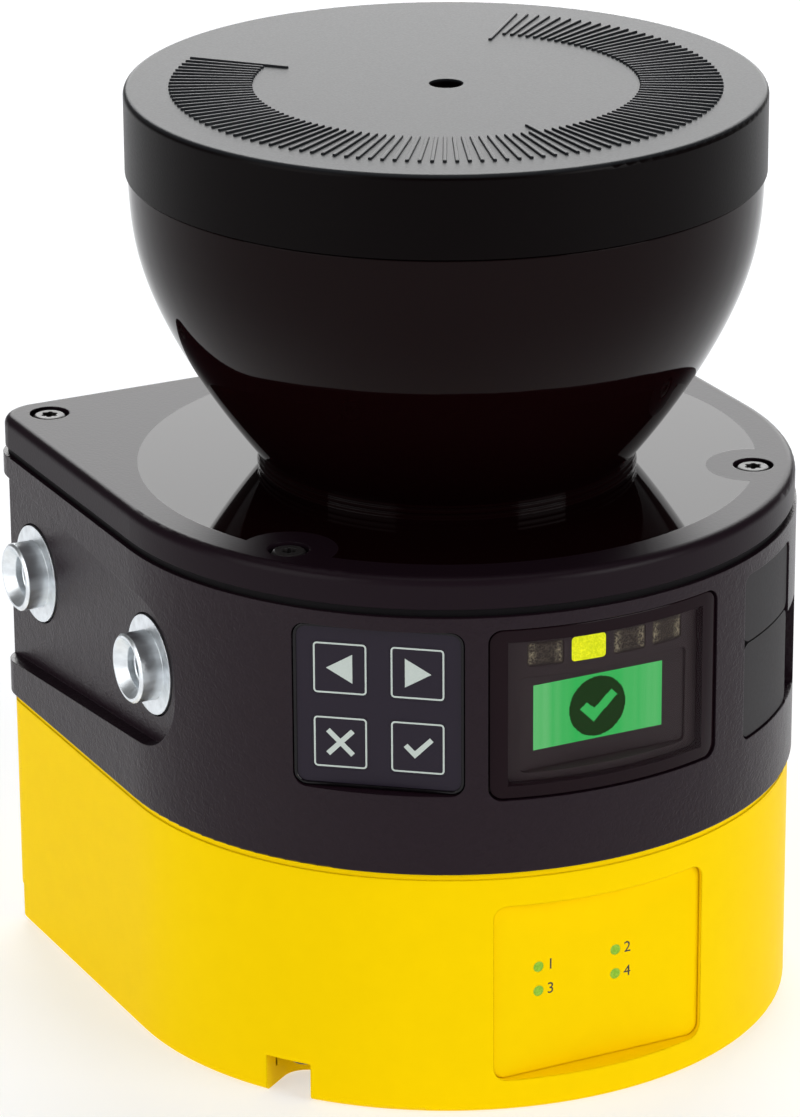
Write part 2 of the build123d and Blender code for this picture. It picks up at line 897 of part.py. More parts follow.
with BuildPart() as optics_cover:
    with BuildSketch(Plane.XY.offset(lid_bottom)):
        add(body_outline(body_radius - lid_inset, body_back - lid_inset, corner_radius))
    extrude(amount=lid_thickness)
    fillet(optics_cover.edges().group_by(Axis.Z)[-1], lid_rounding)
    with BuildSketch(Plane.XY.offset(lid_bottom)):
        add(
            body_outline(
                body_radius - housing_wall,
                body_back - housing_wall,
                corner_radius - housing_wall,
            )
        )
    extrude(amount=lid_thickness - lid_wall, mode=Mode.SUBTRACT)
    with BuildSketch(Plane.XY.offset(lid_bottom)):
        with Locations(*cover_screw_places):
            Circle(cover_boss_radius)
        add(body_outline(body_radius - edge_round, body_back - edge_round, corner_radius),
            mode=Mode.INTERSECT)
    extrude(amount=lid_thickness - lid_wall)
    # neck and bowl, turned round the scan axis, solid first and then hollowed
    with BuildSketch(Plane.XZ):
        with BuildLine():
            wall = bowl_curve(neck_radius, bowl_radius)
            Polyline(wall @ 1, (0, bowl_top), (0, lid_top - lid_wall / 2),
                     (neck_radius, lid_top - lid_wall / 2), wall @ 0)
        make_face()
    revolve(axis=Axis.Z)
    with BuildSketch(Plane.XZ):
        with BuildLine():
            wall = bowl_curve(neck_radius - bowl_wall, bowl_radius - bowl_wall)
            Polyline(wall @ 1, (bowl_radius - bowl_wall, bowl_top + overrun),
                     (0, bowl_top + overrun), (0, lid_bottom - overrun),
                     (neck_radius - bowl_wall, lid_bottom - overrun), wall @ 0)
        make_face()
    revolve(axis=Axis.Z, mode=Mode.SUBTRACT)
    # fine turned rings on the neck
    with BuildSketch(Plane.XZ):
        with Locations(*[(neck_radius, lid_top + neck_height * rise) for rise in neck_rings]):
            Rectangle(2 * neck_ring_depth, neck_ring_width)
    revolve(axis=Axis.Z, mode=Mode.SUBTRACT)
    # counterbored screw holes
    with Locations(*[(x, y, lid_top) for x, y in cover_screw_places]):
        CounterBoreHole(cover_shank_radius + shank_clearance, cover_bore_radius,
                        cover_bore_depth, lid_thickness + overrun)
save(optics_cover.part, "optics_cover")

cover_screws = pan_screws(
    cover_screw_places,
    lid_top - cover_bore_depth,
    False,
    pan_screw(cover_head_radius, cover_head_height, cover_shank_radius, cover_shank_length),
)
save(cover_screws.part, "cover_screws")

# ---------------------------------------------------------------- cap with the angle scale
spigot_radius = bowl_radius - bowl_wall - spigot_clearance
rib_count = int(scan_range / rib_pitch) + 1


def scale_rib(length):
    """One mark of the angle scale: a low bar with round ends and a rounded top."""
    with BuildPart(mode=Mode.PRIVATE) as rib:
        with BuildSketch(Plane.XY.offset(cap_top)):
            SlotOverall(length, rib_width)
        extrude(amount=rib_height)
        fillet(rib.edges().group_by(Axis.Z)[-1], rib_rounding)
    return rib.part


with BuildPart() as top_cap:
    with BuildSketch(Plane.XY.offset(cap_bottom)):
        Circle(cap_radius)
    extrude(amount=cap_height)
    fillet(top_cap.edges().group_by(Axis.Z)[-1], cap_edge_round)
    with BuildSketch(Plane.XY.offset(bowl_top - spigot_depth)):
        Circle(spigot_radius)
    extrude(amount=spigot_depth + cap_gap + cap_wall)
    with BuildSketch(Plane.XY.offset(bowl_top - spigot_depth)):
        Circle(spigot_radius - spigot_wall)
    extrude(amount=cap_under - bowl_top + spigot_depth, mode=Mode.SUBTRACT)
    with BuildSketch(Plane.XY.offset(cap_top)):
        Circle(gate_radius)
    extrude(amount=-gate_depth, mode=Mode.SUBTRACT)
    # angle scale: fine raised radial ribs, a few of them longer
    for inner, count in ((rib_inner, rib_count), (long_rib_inner, long_ribs)):
        with PolarLocations((inner + rib_outer) / 2, count, front - scan_range / 2, scan_range,
                            endpoint=True):
            add(scale_rib(rib_outer - inner))
save(top_cap.part, "top_cap")

with BuildPart() as cap_seal:
    with BuildSketch(Plane.XY.offset(bowl_top)):
        Circle(bowl_radius - seal_inset)
        Circle(spigot_radius, mode=Mode.SUBTRACT)
    extrude(amount=cap_gap)
save(cap_seal.part, "cap_seal")

# ---------------------------------------------------------------- keypad
with BuildPart() as keypad_foil_part:
    with BuildSketch(facing(keypad_angle, keypad_floor, keypad_height_z)):
        RectangleRounded(keypad_width - 2 * foil_gap, keypad_width - 2 * foil_gap, keypad_corner)
        with GridLocations(key_pitch_x, key_pitch_z, 2, 2):
            RectangleRounded(key_size + 2 * key_gap, key_size + 2 * key_gap,
                             key_corner + key_gap, mode=Mode.SUBTRACT)
    extrude(amount=keypad_foil)
save(keypad_foil_part.part, "keypad_foil")

key_names = ["key_previous", "key_next", "key_cancel", "key_confirm"]
key_reach = keypad_face - key_plate
stem_end = keypad_inner + dome_height + key_travel + key_rest_gap
for name, (across, height) in zip(key_names, key_places):
    with BuildPart() as key:
        with BuildSketch(facing(keypad_angle, key_reach)):
            with Locations((across, height)):
                RectangleRounded(key_size, key_size, key_corner)
        extrude(amount=key_plate)
        with BuildSketch(facing(keypad_angle, key_reach)):
            with Locations((across, height)):
                Circle(key_stem_radius)
        extrude(amount=-(key_reach - stem_end))
    save(key.part, name)

with BuildPart() as keypad_board:
    with BuildSketch(facing(keypad_angle, keypad_inner, keypad_height_z)):
        RectangleRounded(keypad_board_width, keypad_width - 2 * board_edge_gap, board_corner)
    extrude(amount=-board_thickness)
save(keypad_board.part, "keypad_board")

with BuildPart() as key_domes:
    with BuildSketch(facing(keypad_angle, keypad_inner, keypad_height_z)):
        with GridLocations(key_pitch_x, key_pitch_z, 2, 2):
            Circle(dome_radius)
    extrude(amount=dome_height)
save(key_domes.part, "key_domes")

# ---------------------------------------------------------------- display
light_angles = [light_pitch * (step - (light_count - 1) / 2) for step in range(light_count)]

with BuildPart() as display_window:
    add(curved_panel(window_inner, window_outer, 0, window_half_angle,
                     window_low, window_high, window_corner))
save(display_window.part, "display_window")

with BuildPart() as display_bezel:
    add(curved_panel(bezel_back - overrun, window_inner, 0,
                     bezel_half_angle - degrees(bezel_gap / body_radius),
                     window_low + bezel_border + bezel_gap,
                     window_high - bezel_border - bezel_gap, window_corner))
    with BuildSketch(Plane.XZ.offset(bezel_back)):
        Rectangle(2 * body_radius, 4 * body_radius)
    extrude(amount=-wall_cut, mode=Mode.SUBTRACT)
    with BuildSketch(Plane.XZ.offset(bezel_back)):
        with Locations((0, module_z)):
            RectangleRounded(module_width, module_height, module_corner)
    extrude(amount=body_radius - bezel_back, mode=Mode.SUBTRACT)
    for angle in light_angles:
        add(
            curved_panel(bezel_back - wall_margin, window_inner + overrun, angle,
                         light_half_angle, light_low, light_high, light_corner),
            mode=Mode.SUBTRACT,
        )
save(display_bezel.part, "display_bezel")

for number, angle in enumerate(light_angles, 1):
    with BuildPart() as light:
        add(curved_panel(window_inner - light_depth, window_inner - light_recess, angle,
                         light_half_angle, light_low, light_high, light_corner))
    save(light.part, f"status_light_{number}")

with BuildPart() as display_module:
    with BuildSketch(Plane.XZ.offset(module_face - module_thickness)):
        with Locations((0, module_z)):
            RectangleRounded(module_width - 2 * bezel_gap, module_height - 2 * bezel_gap,
                             module_corner - bezel_gap)
    extrude(amount=module_thickness)
    with BuildSketch(Plane.XZ.offset(module_face)):
        with Locations((screen_x, screen_z)):
            Rectangle(screen_width, screen_height)
    extrude(amount=-screen_thickness, mode=Mode.SUBTRACT)
save(display_module.part, "display_module")

with BuildPart() as display_screen:
    with BuildSketch(Plane.XZ.offset(module_face)):
        with Locations((screen_x, screen_z)):
            Rectangle(screen_width, screen_height)
    extrude(amount=-screen_thickness)
save(display_screen.part, "display_screen")

with BuildPart() as display_board:
    with BuildSketch(Plane.XZ.offset(bezel_back)):
        with Locations((0, (window_low + window_high) / 2)):
            Rectangle(module_width + 2 * display_board_margin,
                      window_high - window_low - 2 * display_board_inset)
    extrude(amount=-board_thickness)
    with BuildSketch(Plane.XZ.offset(bezel_back)):
        with Locations((0, module_z)):
            Rectangle(module_width - 2 * module_spacer_inset,
                      module_height - 2 * module_spacer_inset)
    extrude(amount=module_face - module_thickness - bezel_back)
save(display_board.part, "display_board")

# ---------------------------------------------------------------- service port
port_outer = port_floor + port_cover_thickness
port_mouth = port_floor - port_set_back
with BuildPart() as port_plug:
    add(curved_panel(port_floor, port_outer, port_angle, port_half_angle,
                     port_hinge_z + port_gap / 2, port_high - port_gap / 2, port_corner))
save(port_plug.part, "port_plug")

with BuildPart() as port_flap:
    add(curved_panel(port_floor + port_gap, port_outer, port_angle, port_half_angle,
                     port_low, port_hinge_z - port_gap / 2, port_corner))
save(port_flap.part, "port_flap")

with BuildPart() as service_port:
    with BuildSketch(facing(port_angle, port_mouth, port_z)):
        RectangleRounded(port_width, port_mouth_height, port_mouth_corner)
        RectangleRounded(port_width - 2 * port_shell, port_mouth_height - 2 * port_shell,
                         port_inner_corner, mode=Mode.SUBTRACT)
    extrude(amount=-port_depth)
    with BuildSketch(facing(port_angle, port_mouth - port_depth, port_z)):
        RectangleRounded(port_width, port_mouth_height, port_mouth_corner)
    extrude(amount=-port_base)
    with BuildSketch(facing(port_angle, port_mouth - port_depth, port_z)):
        Rectangle(port_width - 2 * port_tongue_margin, port_tongue)
    extrude(amount=port_depth - port_tongue_margin)
save(service_port.part, "service_port")

with BuildPart() as service_board:
    with BuildSketch(facing(port_angle, port_mouth - port_depth - port_base, port_z)):
        RectangleRounded(port_board_width, port_board_height, board_corner)
    extrude(amount=-board_thickness)
save(service_board.part, "service_board")

# ---------------------------------------------------------------- connectors in the sides
flange_face = side_floor + socket_flange_stand
flange_back = flange_face - socket_flange_thickness
seal_back = flange_back - seal_thickness
socket_face = flange_face + socket_length
thread_end = socket_face - socket_funnel_depth - socket_thread_length
insert_face = thread_end - insert_set_back
barrel_back = side_inner - nut_thickness - thread_spare
insert_back = barrel_back - insert_tail


def on_side(side, distance, y):
    """Plane on a connector's axis, looking out of the left (-1) or right (+1) side."""
    return Plane(origin=(side * distance, y, recess_z), x_dir=(0, side, 0), z_dir=(side, 0, 0))


def turned_section(side, y):
    """Plane through a connector's axis: its X is the distance outwards, its Y the radius."""
    return Plane(origin=(0, y, recess_z), x_dir=(side, 0, 0), z_dir=(0, -side, 0))


for number, y in enumerate(socket_places, 1):
    with BuildPart() as socket:
        with BuildSketch(turned_section(-1, y)):
            with BuildLine():
                Polyline(
                    (barrel_back, insert_radius),
                    (barrel_back, socket_radius),
                    (flange_back, socket_radius),
                    (flange_back, socket_flange_radius),
                    (flange_face, socket_flange_radius),
                    (flange_face, socket_radius),
                    (socket_face - socket_chamfer, socket_radius),
                    (socket_face, socket_radius - socket_chamfer),
                    (socket_face, socket_funnel_radius),
                    (socket_face - socket_funnel_depth, socket_thread_radius),
                    (thread_end, socket_thread_radius),
                    (thread_end, insert_radius),
                    close=True,
                )
            make_face()
        revolve(axis=Axis((0, y, recess_z), (-1, 0, 0)))
    save(socket.part, f"network_socket_{number}")

with BuildPart() as power_inlet:
    with BuildSketch(on_side(1, flange_face, inlet_y)):
        Circle(socket_flange_radius)
    extrude(amount=-socket_flange_thickness)
    with BuildSketch(on_side(1, flange_face, inlet_y)):
        Circle(inlet_thread_radius)
    extrude(amount=inlet_length)
    chamfer(power_inlet.edges().filter_by(GeomType.CIRCLE).sort_by(Axis.X)[-1], inlet_chamfer)
    with BuildSketch(on_side(1, barrel_back, inlet_y)):
        Circle(socket_radius)
    extrude(amount=flange_face - barrel_back)
    with BuildSketch(on_side(1, barrel_back, inlet_y)):
        Circle(inlet_bore_radius)
    extrude(amount=flange_face + inlet_length - barrel_back, mode=Mode.SUBTRACT)
save(power_inlet.part, "power_inlet")

with BuildPart() as connector_inserts:
    for y in socket_places:
        with BuildSketch(on_side(-1, insert_back, y)):
            Circle(insert_radius)
            with PolarLocations(contact_circle, contact_count, contact_turn):
                Circle(contact_radius, mode=Mode.SUBTRACT)
        extrude(amount=insert_face - insert_back)
        # keyway that turns the plug the right way round
        with BuildSketch(on_side(-1, insert_face, y)):
            with Locations((0, insert_radius)):
                Rectangle(insert_key, 2 * insert_key)
        extrude(amount=-insert_key, mode=Mode.SUBTRACT)
    with BuildSketch(on_side(1, insert_back, inlet_y)):
        Circle(inlet_bore_radius)
        with PolarLocations(inlet_pin_circle, contact_count, contact_turn):
            Circle(inlet_pin_radius, mode=Mode.SUBTRACT)
    extrude(amount=flange_face - insert_back)
save(connector_inserts.part, "connector_inserts")

# hollow contacts in the two sockets, solid pins in the inlet
with BuildPart() as connector_contacts:
    for y in socket_places:
        with BuildSketch(on_side(-1, insert_back - contact_tail, y)):
            with PolarLocations(contact_circle, contact_count, contact_turn):
                Circle(contact_radius)
        extrude(amount=insert_face - contact_set_back - insert_back + contact_tail)
        with BuildSketch(on_side(-1, insert_face, y)):
            with PolarLocations(contact_circle, contact_count, contact_turn):
                Circle(contact_radius * contact_bore)
        extrude(amount=-contact_bore_depth, mode=Mode.SUBTRACT)
    with BuildSketch(on_side(1, insert_back - contact_tail, inlet_y)):
        with PolarLocations(inlet_pin_circle, contact_count, contact_turn):
            Circle(inlet_pin_radius)
    extrude(amount=flange_face + inlet_pin_length - insert_back + contact_tail)
save(connector_contacts.part, "connector_contacts")

connector_places = [(-1, y) for y in socket_places] + [(1, inlet_y)]
with BuildPart() as connector_seals:
    for side, y in connector_places:
        with BuildSketch(on_side(side, seal_back, y)):
            Circle(socket_flange_radius - connector_seal_inset)
            Circle(socket_radius, mode=Mode.SUBTRACT)
        extrude(amount=seal_thickness)
save(connector_seals.part, "connector_seals")

with BuildPart() as connector_nuts:
    for side, y in connector_places:
        with BuildSketch(on_side(side, side_inner, y)):
            RegularPolygon(nut_radius, nut_sides, major_radius=False)
            Circle(socket_radius, mode=Mode.SUBTRACT)
        extrude(amount=-nut_thickness)
save(connector_nuts.part, "connector_nuts")

# ---------------------------------------------------------------- label and lights on the base
with BuildPart() as network_label:
    with BuildSketch(Plane.XZ.offset(label_face - label_foil)):
        with Locations((label_x, label_z)):
            RectangleRounded(label_width - 2 * label_gap, label_height - 2 * label_gap, label_corner)
        with Locations((label_light_x, label_light_z)):
            with GridLocations(label_light_pitch_x, label_light_pitch_z, 2, 2):
                Circle(label_light_radius, mode=Mode.SUBTRACT)
    extrude(amount=label_foil)
save(network_label.part, "network_label")

network_board_face = label_back - foot_height
with BuildPart() as network_lights:
    with BuildSketch(Plane.XZ.offset(label_face)):
        with Locations((label_light_x, label_light_z)):
            with GridLocations(label_light_pitch_x, label_light_pitch_z, 2, 2):
                Circle(label_light_radius)
    extrude(amount=-(label_face - network_board_face))
save(network_lights.part, "network_lights")

with BuildPart() as network_board:
    with BuildSketch(Plane.XZ.offset(network_board_face)):
        with Locations((label_x, label_z)):
            RectangleRounded(network_board_width, network_board_height, board_corner)
    extrude(amount=-board_thickness)
    with BuildSketch(Plane.XZ.offset(network_board_face - board_thickness)):
        with Locations((label_x, label_z)):
            with GridLocations(network_chip_pitch, 0, 2, 1):
                Rectangle(network_chip_width, network_chip_height)
    extrude(amount=-network_chip_thickness)
save(network_board.part, "network_board")

# ---------------------------------------------------------------- boards
power_board_z = base_floor + power_board_gap
with BuildPart() as power_board:
    with BuildSketch(Plane.XY.offset(power_board_z)):
        RectangleRounded(power_board_width, power_board_length, power_corner)
    extrude(amount=board_thickness)
    with BuildSketch(Plane.XY.offset(power_board_z + board_thickness)):
        with Locations((coil_x, coil_y)):
            RectangleRounded(coil_width, coil_length, coil_corner)
    extrude(amount=coil_height)
    with BuildSketch(Plane.XY.offset(power_board_z + board_thickness)):
        with Locations((capacitor_x, capacitor_y)):
            with GridLocations(capacitor_pitch_x, capacitor_pitch_y, 2, 2):
                Circle(capacitor_radius)
    extrude(amount=capacitor_height)
save(power_board.part, "power_board")

main_board_z = floor_top + main_board_gap
with BuildPart() as base_connector:
    with BuildSketch(Plane.XY.offset(power_board_z + board_thickness)):
        with Locations((0, connector_y)):
            Rectangle(connector_width, connector_length)
    extrude(amount=floor_top - power_board_z - board_thickness)
save(base_connector.part, "base_connector")

with BuildPart() as main_connector:
    with BuildSketch(Plane.XY.offset(floor_top)):
        with Locations((0, connector_y)):
            Rectangle(connector_width - 2 * connector_step, connector_length - connector_step)
    extrude(amount=main_board_gap)
save(main_connector.part, "main_connector")

with BuildPart() as main_board:
    with BuildSketch(Plane.XY.offset(main_board_z)):
        with Locations((0, main_board_y)):
            RectangleRounded(main_board_width, main_board_length, power_corner)
    extrude(amount=board_thickness)
    with BuildSketch(Plane.XY.offset(main_board_z + board_thickness)):
        with Locations((0, main_board_y + chip_y)):
            with GridLocations(chip_pitch, 0, 2, 1):
                Rectangle(chip_size, chip_size)
        with Locations((0, main_board_y + memory_y)):
            with GridLocations(memory_pitch, 0, 3, 1):
                Rectangle(memory_width, memory_length)
    extrude(amount=chip_thickness)
save(main_board.part, "main_board")

# ---------------------------------------------------------------- receiver optics
tube_inner = lens_radius
lens_seat_inner = lens_radius - lens_seat_width
lens_mid = lens_z - lens_belly * 3 / 4
tube_outer = lens_radius + tube_wall
tube_floor = tube_bottom + tube_wall
laser_seat = laser_radius + emission_wall
with BuildPart() as optics_tray:
    with BuildSketch(Plane.XY.offset(tray_z)):
        with Locations((0, tray_y)):
            RectangleRounded(tray_width, tray_length, tray_corner)
    extrude(amount=tray_thickness)
    with BuildSketch(Plane.XY.offset(tube_bottom)):
        Circle(tube_outer)
    extrude(amount=lens_z + lens_edge + tube_rim - tube_bottom)
    with BuildSketch(Plane.XY.offset(tube_floor)):
        Circle(tube_inner)
    extrude(amount=lens_z + lens_edge + tube_rim - tube_floor, mode=Mode.SUBTRACT)
    # seat under the lens
    with BuildSketch(Plane.XY.offset(lens_z - lens_seat_height)):
        Circle(tube_inner + seat_root)
        Circle(tube_inner - lens_seat_width, mode=Mode.SUBTRACT)
    extrude(amount=lens_seat_height)
    # three vanes carry the laser on the scan axis
    with BuildSketch(Plane.XY.offset(spider_low)):
        Circle(laser_seat)
        with PolarLocations((laser_seat + tube_inner) / 2, vane_count, vane_turn):
            Rectangle(tube_inner - laser_seat + 2 * seat_root, vane_width)
        Circle(laser_radius, mode=Mode.SUBTRACT)
    extrude(amount=spider_high - spider_low)
    # window for the receiver, slot for the motor's ribbon, screw holes over the posts
    with BuildSketch(Plane.XY.offset(tube_bottom)):
        Circle(window_radius)
    extrude(amount=tube_wall, mode=Mode.SUBTRACT)
    with BuildSketch(Plane.XY.offset(tray_z)):
        with Locations((0, tube_outer + ribbon_slot_width / 2)):
            Rectangle(ribbon_width + 2 * ribbon_slot_margin, ribbon_slot_width)
    extrude(amount=tray_thickness, mode=Mode.SUBTRACT)
    with BuildSketch(Plane.XY.offset(tray_z)):
        with Locations(*tray_posts):
            Circle(tray_hole_radius)
    extrude(amount=tray_thickness, mode=Mode.SUBTRACT)
save(optics_tray.part, "optics_tray")

with BuildPart() as receiver_lens:
    with BuildSketch(Plane.XZ):
        with BuildLine():
            under = ThreePointArc((0, lens_z - lens_belly), (lens_seat_inner / 2, lens_mid),
                                  (lens_seat_inner, lens_z))
            Polyline(under @ 1, (lens_radius, lens_z), (lens_radius, lens_z + lens_edge))
            ThreePointArc((lens_radius, lens_z + lens_edge),
                          (lens_radius / 2, lens_z + lens_edge + lens_crown * 3 / 4),
                          (0, lens_z + lens_edge + lens_crown))
            Line((0, lens_z + lens_edge + lens_crown), under @ 0)
        make_face()
    revolve(axis=Axis.Z)
    with BuildSketch(Plane.XY.offset(lens_z - overrun)):
        Circle(lens_hole_radius)
    extrude(amount=lens_edge + lens_crown + 2 * overrun, mode=Mode.SUBTRACT)
save(receiver_lens.part, "receiver_lens")

with BuildPart() as laser_module:
    with BuildSketch(Plane.XY.offset(laser_bottom)):
        Circle(laser_radius)
    extrude(amount=laser_top - laser_bottom)
    with BuildSketch(Plane.XY.offset(laser_top)):
        Circle(collimator_radius)
    extrude(amount=-collimator_thickness - collimator_depth, mode=Mode.SUBTRACT)
    with BuildSketch(Plane.XY.offset(laser_top)):
        Circle(beam_radius)
    extrude(amount=-beam_length, mode=Mode.SUBTRACT)
save(laser_module.part, "laser_module")

with BuildPart() as collimator_lens:
    with BuildSketch(Plane.XY.offset(laser_top - collimator_thickness - collimator_depth)):
        Circle(collimator_radius)
    extrude(amount=collimator_thickness)
    fillet(collimator_lens.edges().group_by(Axis.Z)[-1], collimator_rounding)
save(collimator_lens.part, "collimator_lens")

with BuildPart() as emission_tube:
    with BuildSketch(Plane.XY.offset(spider_high)):
        Circle(laser_seat)
        Circle(laser_radius, mode=Mode.SUBTRACT)
    extrude(amount=emission_top - spider_high)
save(emission_tube.part, "emission_tube")

with BuildPart() as receiver_board:
    with BuildSketch(Plane.XY.offset(tube_bottom)):
        Circle(receiver_radius)
    extrude(amount=-board_thickness)
    with BuildSketch(Plane.XY.offset(tube_bottom)):
        Rectangle(detector_size, detector_size)
    extrude(amount=detector_height)
save(receiver_board.part, "receiver_board")

# ---------------------------------------------------------------- scan mechanism
mirror_back = mirror_thickness * sqrt(2)
carrier_top = scan_height + mirror_radius + mirror_back + carrier_cover
can_low = carrier_top + carrier_top_gap
flange_low = cap_under - flange_thickness
can_height = flange_low - can_low
lower_bearing_z = can_low + can_wall
upper_bearing_z = flange_low - bearing_width
carrier_pocket_top = carrier_top - carrier_roof
with BuildPart() as motor_flange:
    with BuildSketch(Plane.XY.offset(flange_low)):
        Circle(flange_radius)
    extrude(amount=flange_thickness)
    with BuildSketch(Plane.XY.offset(flange_low)):
        Circle(bearing_radius + can_wall)
        Circle(bearing_radius, mode=Mode.SUBTRACT)
    extrude(amount=-bearing_width)
    with BuildSketch(Plane.XY.offset(flange_low)):
        Circle(shaft_radius + shaft_hole_gap)
    extrude(amount=shaft_pocket, mode=Mode.SUBTRACT)
save(motor_flange.part, "motor_flange")

with BuildPart() as motor_can:
    with BuildSketch(Plane.XY.offset(can_low)):
        Circle(can_radius)
    extrude(amount=can_height)
    with BuildSketch(Plane.XY.offset(can_low + can_wall)):
        Circle(can_radius - can_wall)
    extrude(amount=can_height, mode=Mode.SUBTRACT)
    with BuildSketch(Plane.XY.offset(can_low + can_wall)):
        Circle(bearing_radius + can_wall)
        Circle(bearing_radius, mode=Mode.SUBTRACT)
    extrude(amount=bearing_width)
    with BuildSketch(Plane.XY.offset(can_low)):
        Circle(shaft_radius + shaft_hole_gap)
    extrude(amount=can_wall, mode=Mode.SUBTRACT)
save(motor_can.part, "motor_can")

with BuildPart() as motor_bearings:
    for height in (lower_bearing_z, upper_bearing_z):
        with BuildSketch(Plane.XY.offset(height)):
            Circle(bearing_radius)
            Circle(shaft_radius + bearing_clearance, mode=Mode.SUBTRACT)
        extrude(amount=bearing_width)
save(motor_bearings.part, "motor_bearings")

magnet_low = lower_bearing_z + bearing_width + magnet_gap
magnet_height = upper_bearing_z - magnet_top_gap - magnet_low
tooth_inner = magnet_radius + stator_gap
tooth_outer = can_radius - can_wall - stator_ring / 2
with BuildPart() as motor_stator:
    with BuildSketch(Plane.XY.offset(magnet_low)):
        Circle(can_radius - can_wall)
        Circle(can_radius - can_wall - stator_ring, mode=Mode.SUBTRACT)
        with PolarLocations((tooth_inner + tooth_outer) / 2, stator_teeth):
            Rectangle(tooth_outer - tooth_inner, tooth_width)
    extrude(amount=magnet_height)
save(motor_stator.part, "motor_stator")

with BuildPart() as rotor_magnet:
    with BuildSketch(Plane.XY.offset(magnet_low)):
        Circle(magnet_radius)
        Circle(shaft_radius, mode=Mode.SUBTRACT)
    extrude(amount=magnet_height)
save(rotor_magnet.part, "rotor_magnet")

shaft_low = carrier_top - shaft_grip
with BuildPart() as rotor_shaft:
    with BuildSketch(Plane.XY.offset(shaft_low)):
        Circle(shaft_radius)
    extrude(amount=flange_low + shaft_pocket - shaft_end_gap - shaft_low)
save(rotor_shaft.part, "rotor_shaft")

def slanted(radius, low, high):
    """An upright cylinder's share between two 45-degree planes that face down and forward."""
    with BuildPart() as share:
        with BuildSketch(Plane.YZ):
            with BuildLine():
                Polyline(
                    (-radius, scan_height + radius + low),
                    (radius, scan_height - radius + low),
                    (radius, scan_height - radius + high),
                    (-radius, scan_height + radius + high),
                    close=True,
                )
            make_face()
        extrude(amount=radius, both=True)
        with BuildSketch(Plane.XY.offset(scan_height - 2 * radius)):
            Circle(radius)
        extrude(amount=4 * radius + high, mode=Mode.INTERSECT)
    return share.part


with BuildPart() as scan_mirror:
    add(slanted(mirror_radius, 0, mirror_back))
save(scan_mirror.part, "scan_mirror")

with BuildPart() as mirror_carrier:
    add(slanted(carrier_radius, mirror_back, mirror_back + 2 * carrier_radius))
    with BuildSketch(Plane.XY.offset(carrier_top)):
        Circle(2 * carrier_radius)
    extrude(amount=4 * carrier_radius, mode=Mode.SUBTRACT)
    # two pockets from above lighten it on both sides of the shaft's hub
    with BuildSketch(Plane.XY.offset(scan_height - carrier_radius)):
        with Locations((0, carrier_pocket_y)):
            with GridLocations(carrier_pocket_pitch, 0, 2, 1):
                RectangleRounded(carrier_pocket_width, carrier_pocket_length, carrier_pocket_corner)
    extrude(amount=carrier_pocket_top - scan_height + carrier_radius, mode=Mode.SUBTRACT)
    with BuildSketch(Plane.XY.offset(shaft_low)):
        Circle(shaft_radius)
    extrude(amount=carrier_top - shaft_low, mode=Mode.SUBTRACT)
save(mirror_carrier.part, "mirror_carrier")

with BuildPart() as encoder_disc:
    with BuildSketch(Plane.XY.offset(carrier_top)):
        Circle(encoder_radius)
        with PolarLocations(encoder_radius - slot_inset, encoder_slots):
            Rectangle(slot_length, slot_width, mode=Mode.SUBTRACT)
        Circle(shaft_radius, mode=Mode.SUBTRACT)
    extrude(amount=encoder_thickness)
save(encoder_disc.part, "encoder_disc")

fork_inner = encoder_radius - fork_reach
fork_stem = encoder_radius + fork_gap
fork_outer = flange_radius - fork_inset
fork_low = carrier_top - fork_gap
fork_high = carrier_top + encoder_thickness + fork_gap
with BuildPart() as encoder_sensor:
    with BuildSketch(Plane.YZ):
        with BuildLine():
            Polyline(
                (fork_inner, fork_low - fork_jaw),
                (fork_inner, fork_low),
                (fork_stem, fork_low),
                (fork_stem, fork_high),
                (fork_inner, fork_high),
                (fork_inner, fork_high + fork_jaw),
                (fork_stem, fork_high + fork_jaw),
                (fork_stem, flange_low),
                (fork_outer, flange_low),
                (fork_outer, fork_low - fork_jaw),
                close=True,
            )
        make_face()
    extrude(amount=fork_half_width, both=True)
save(encoder_sensor.part, "encoder_sensor")

# flat ribbon from the motor, down the back of the bowl to the main board
ribbon_top = cap_under - ribbon_gap
ribbon_outer = spigot_radius - spigot_wall - ribbon_gap
ribbon_inner = neck_radius - bowl_wall - ribbon_neck_gap
with BuildPart() as motor_ribbon:
    with BuildSketch(Plane.YZ):
        with BuildLine() as route:
            FilletPolyline(
                (flange_radius, ribbon_top),
                (ribbon_outer, ribbon_top),
                (ribbon_outer, bowl_top - spigot_depth - ribbon_drop),
                (ribbon_inner, neck_top + ribbon_rise),
                (ribbon_inner, main_board_z + board_thickness),
                radius=ribbon_bend,
            )
        trace(route.line, ribbon_thickness)
    extrude(amount=ribbon_width / 2, both=True)
save(motor_ribbon.part, "motor_ribbon")
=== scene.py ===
# %% [markdown]
# # A safety laser scanner, dressed around its solid model
#
# The solid model already has every casing, key, socket and screw at its real size.
# What is left for Blender is what a maker would call the finish: paint, moulded
# plastic, printing, the lit display, and the threads that are too fine for the model.
# Each step below makes one finish or one small set of pieces.

from math import cos, pi, radians, sin

import bmesh
import bpy
from mathutils import Matrix, Vector


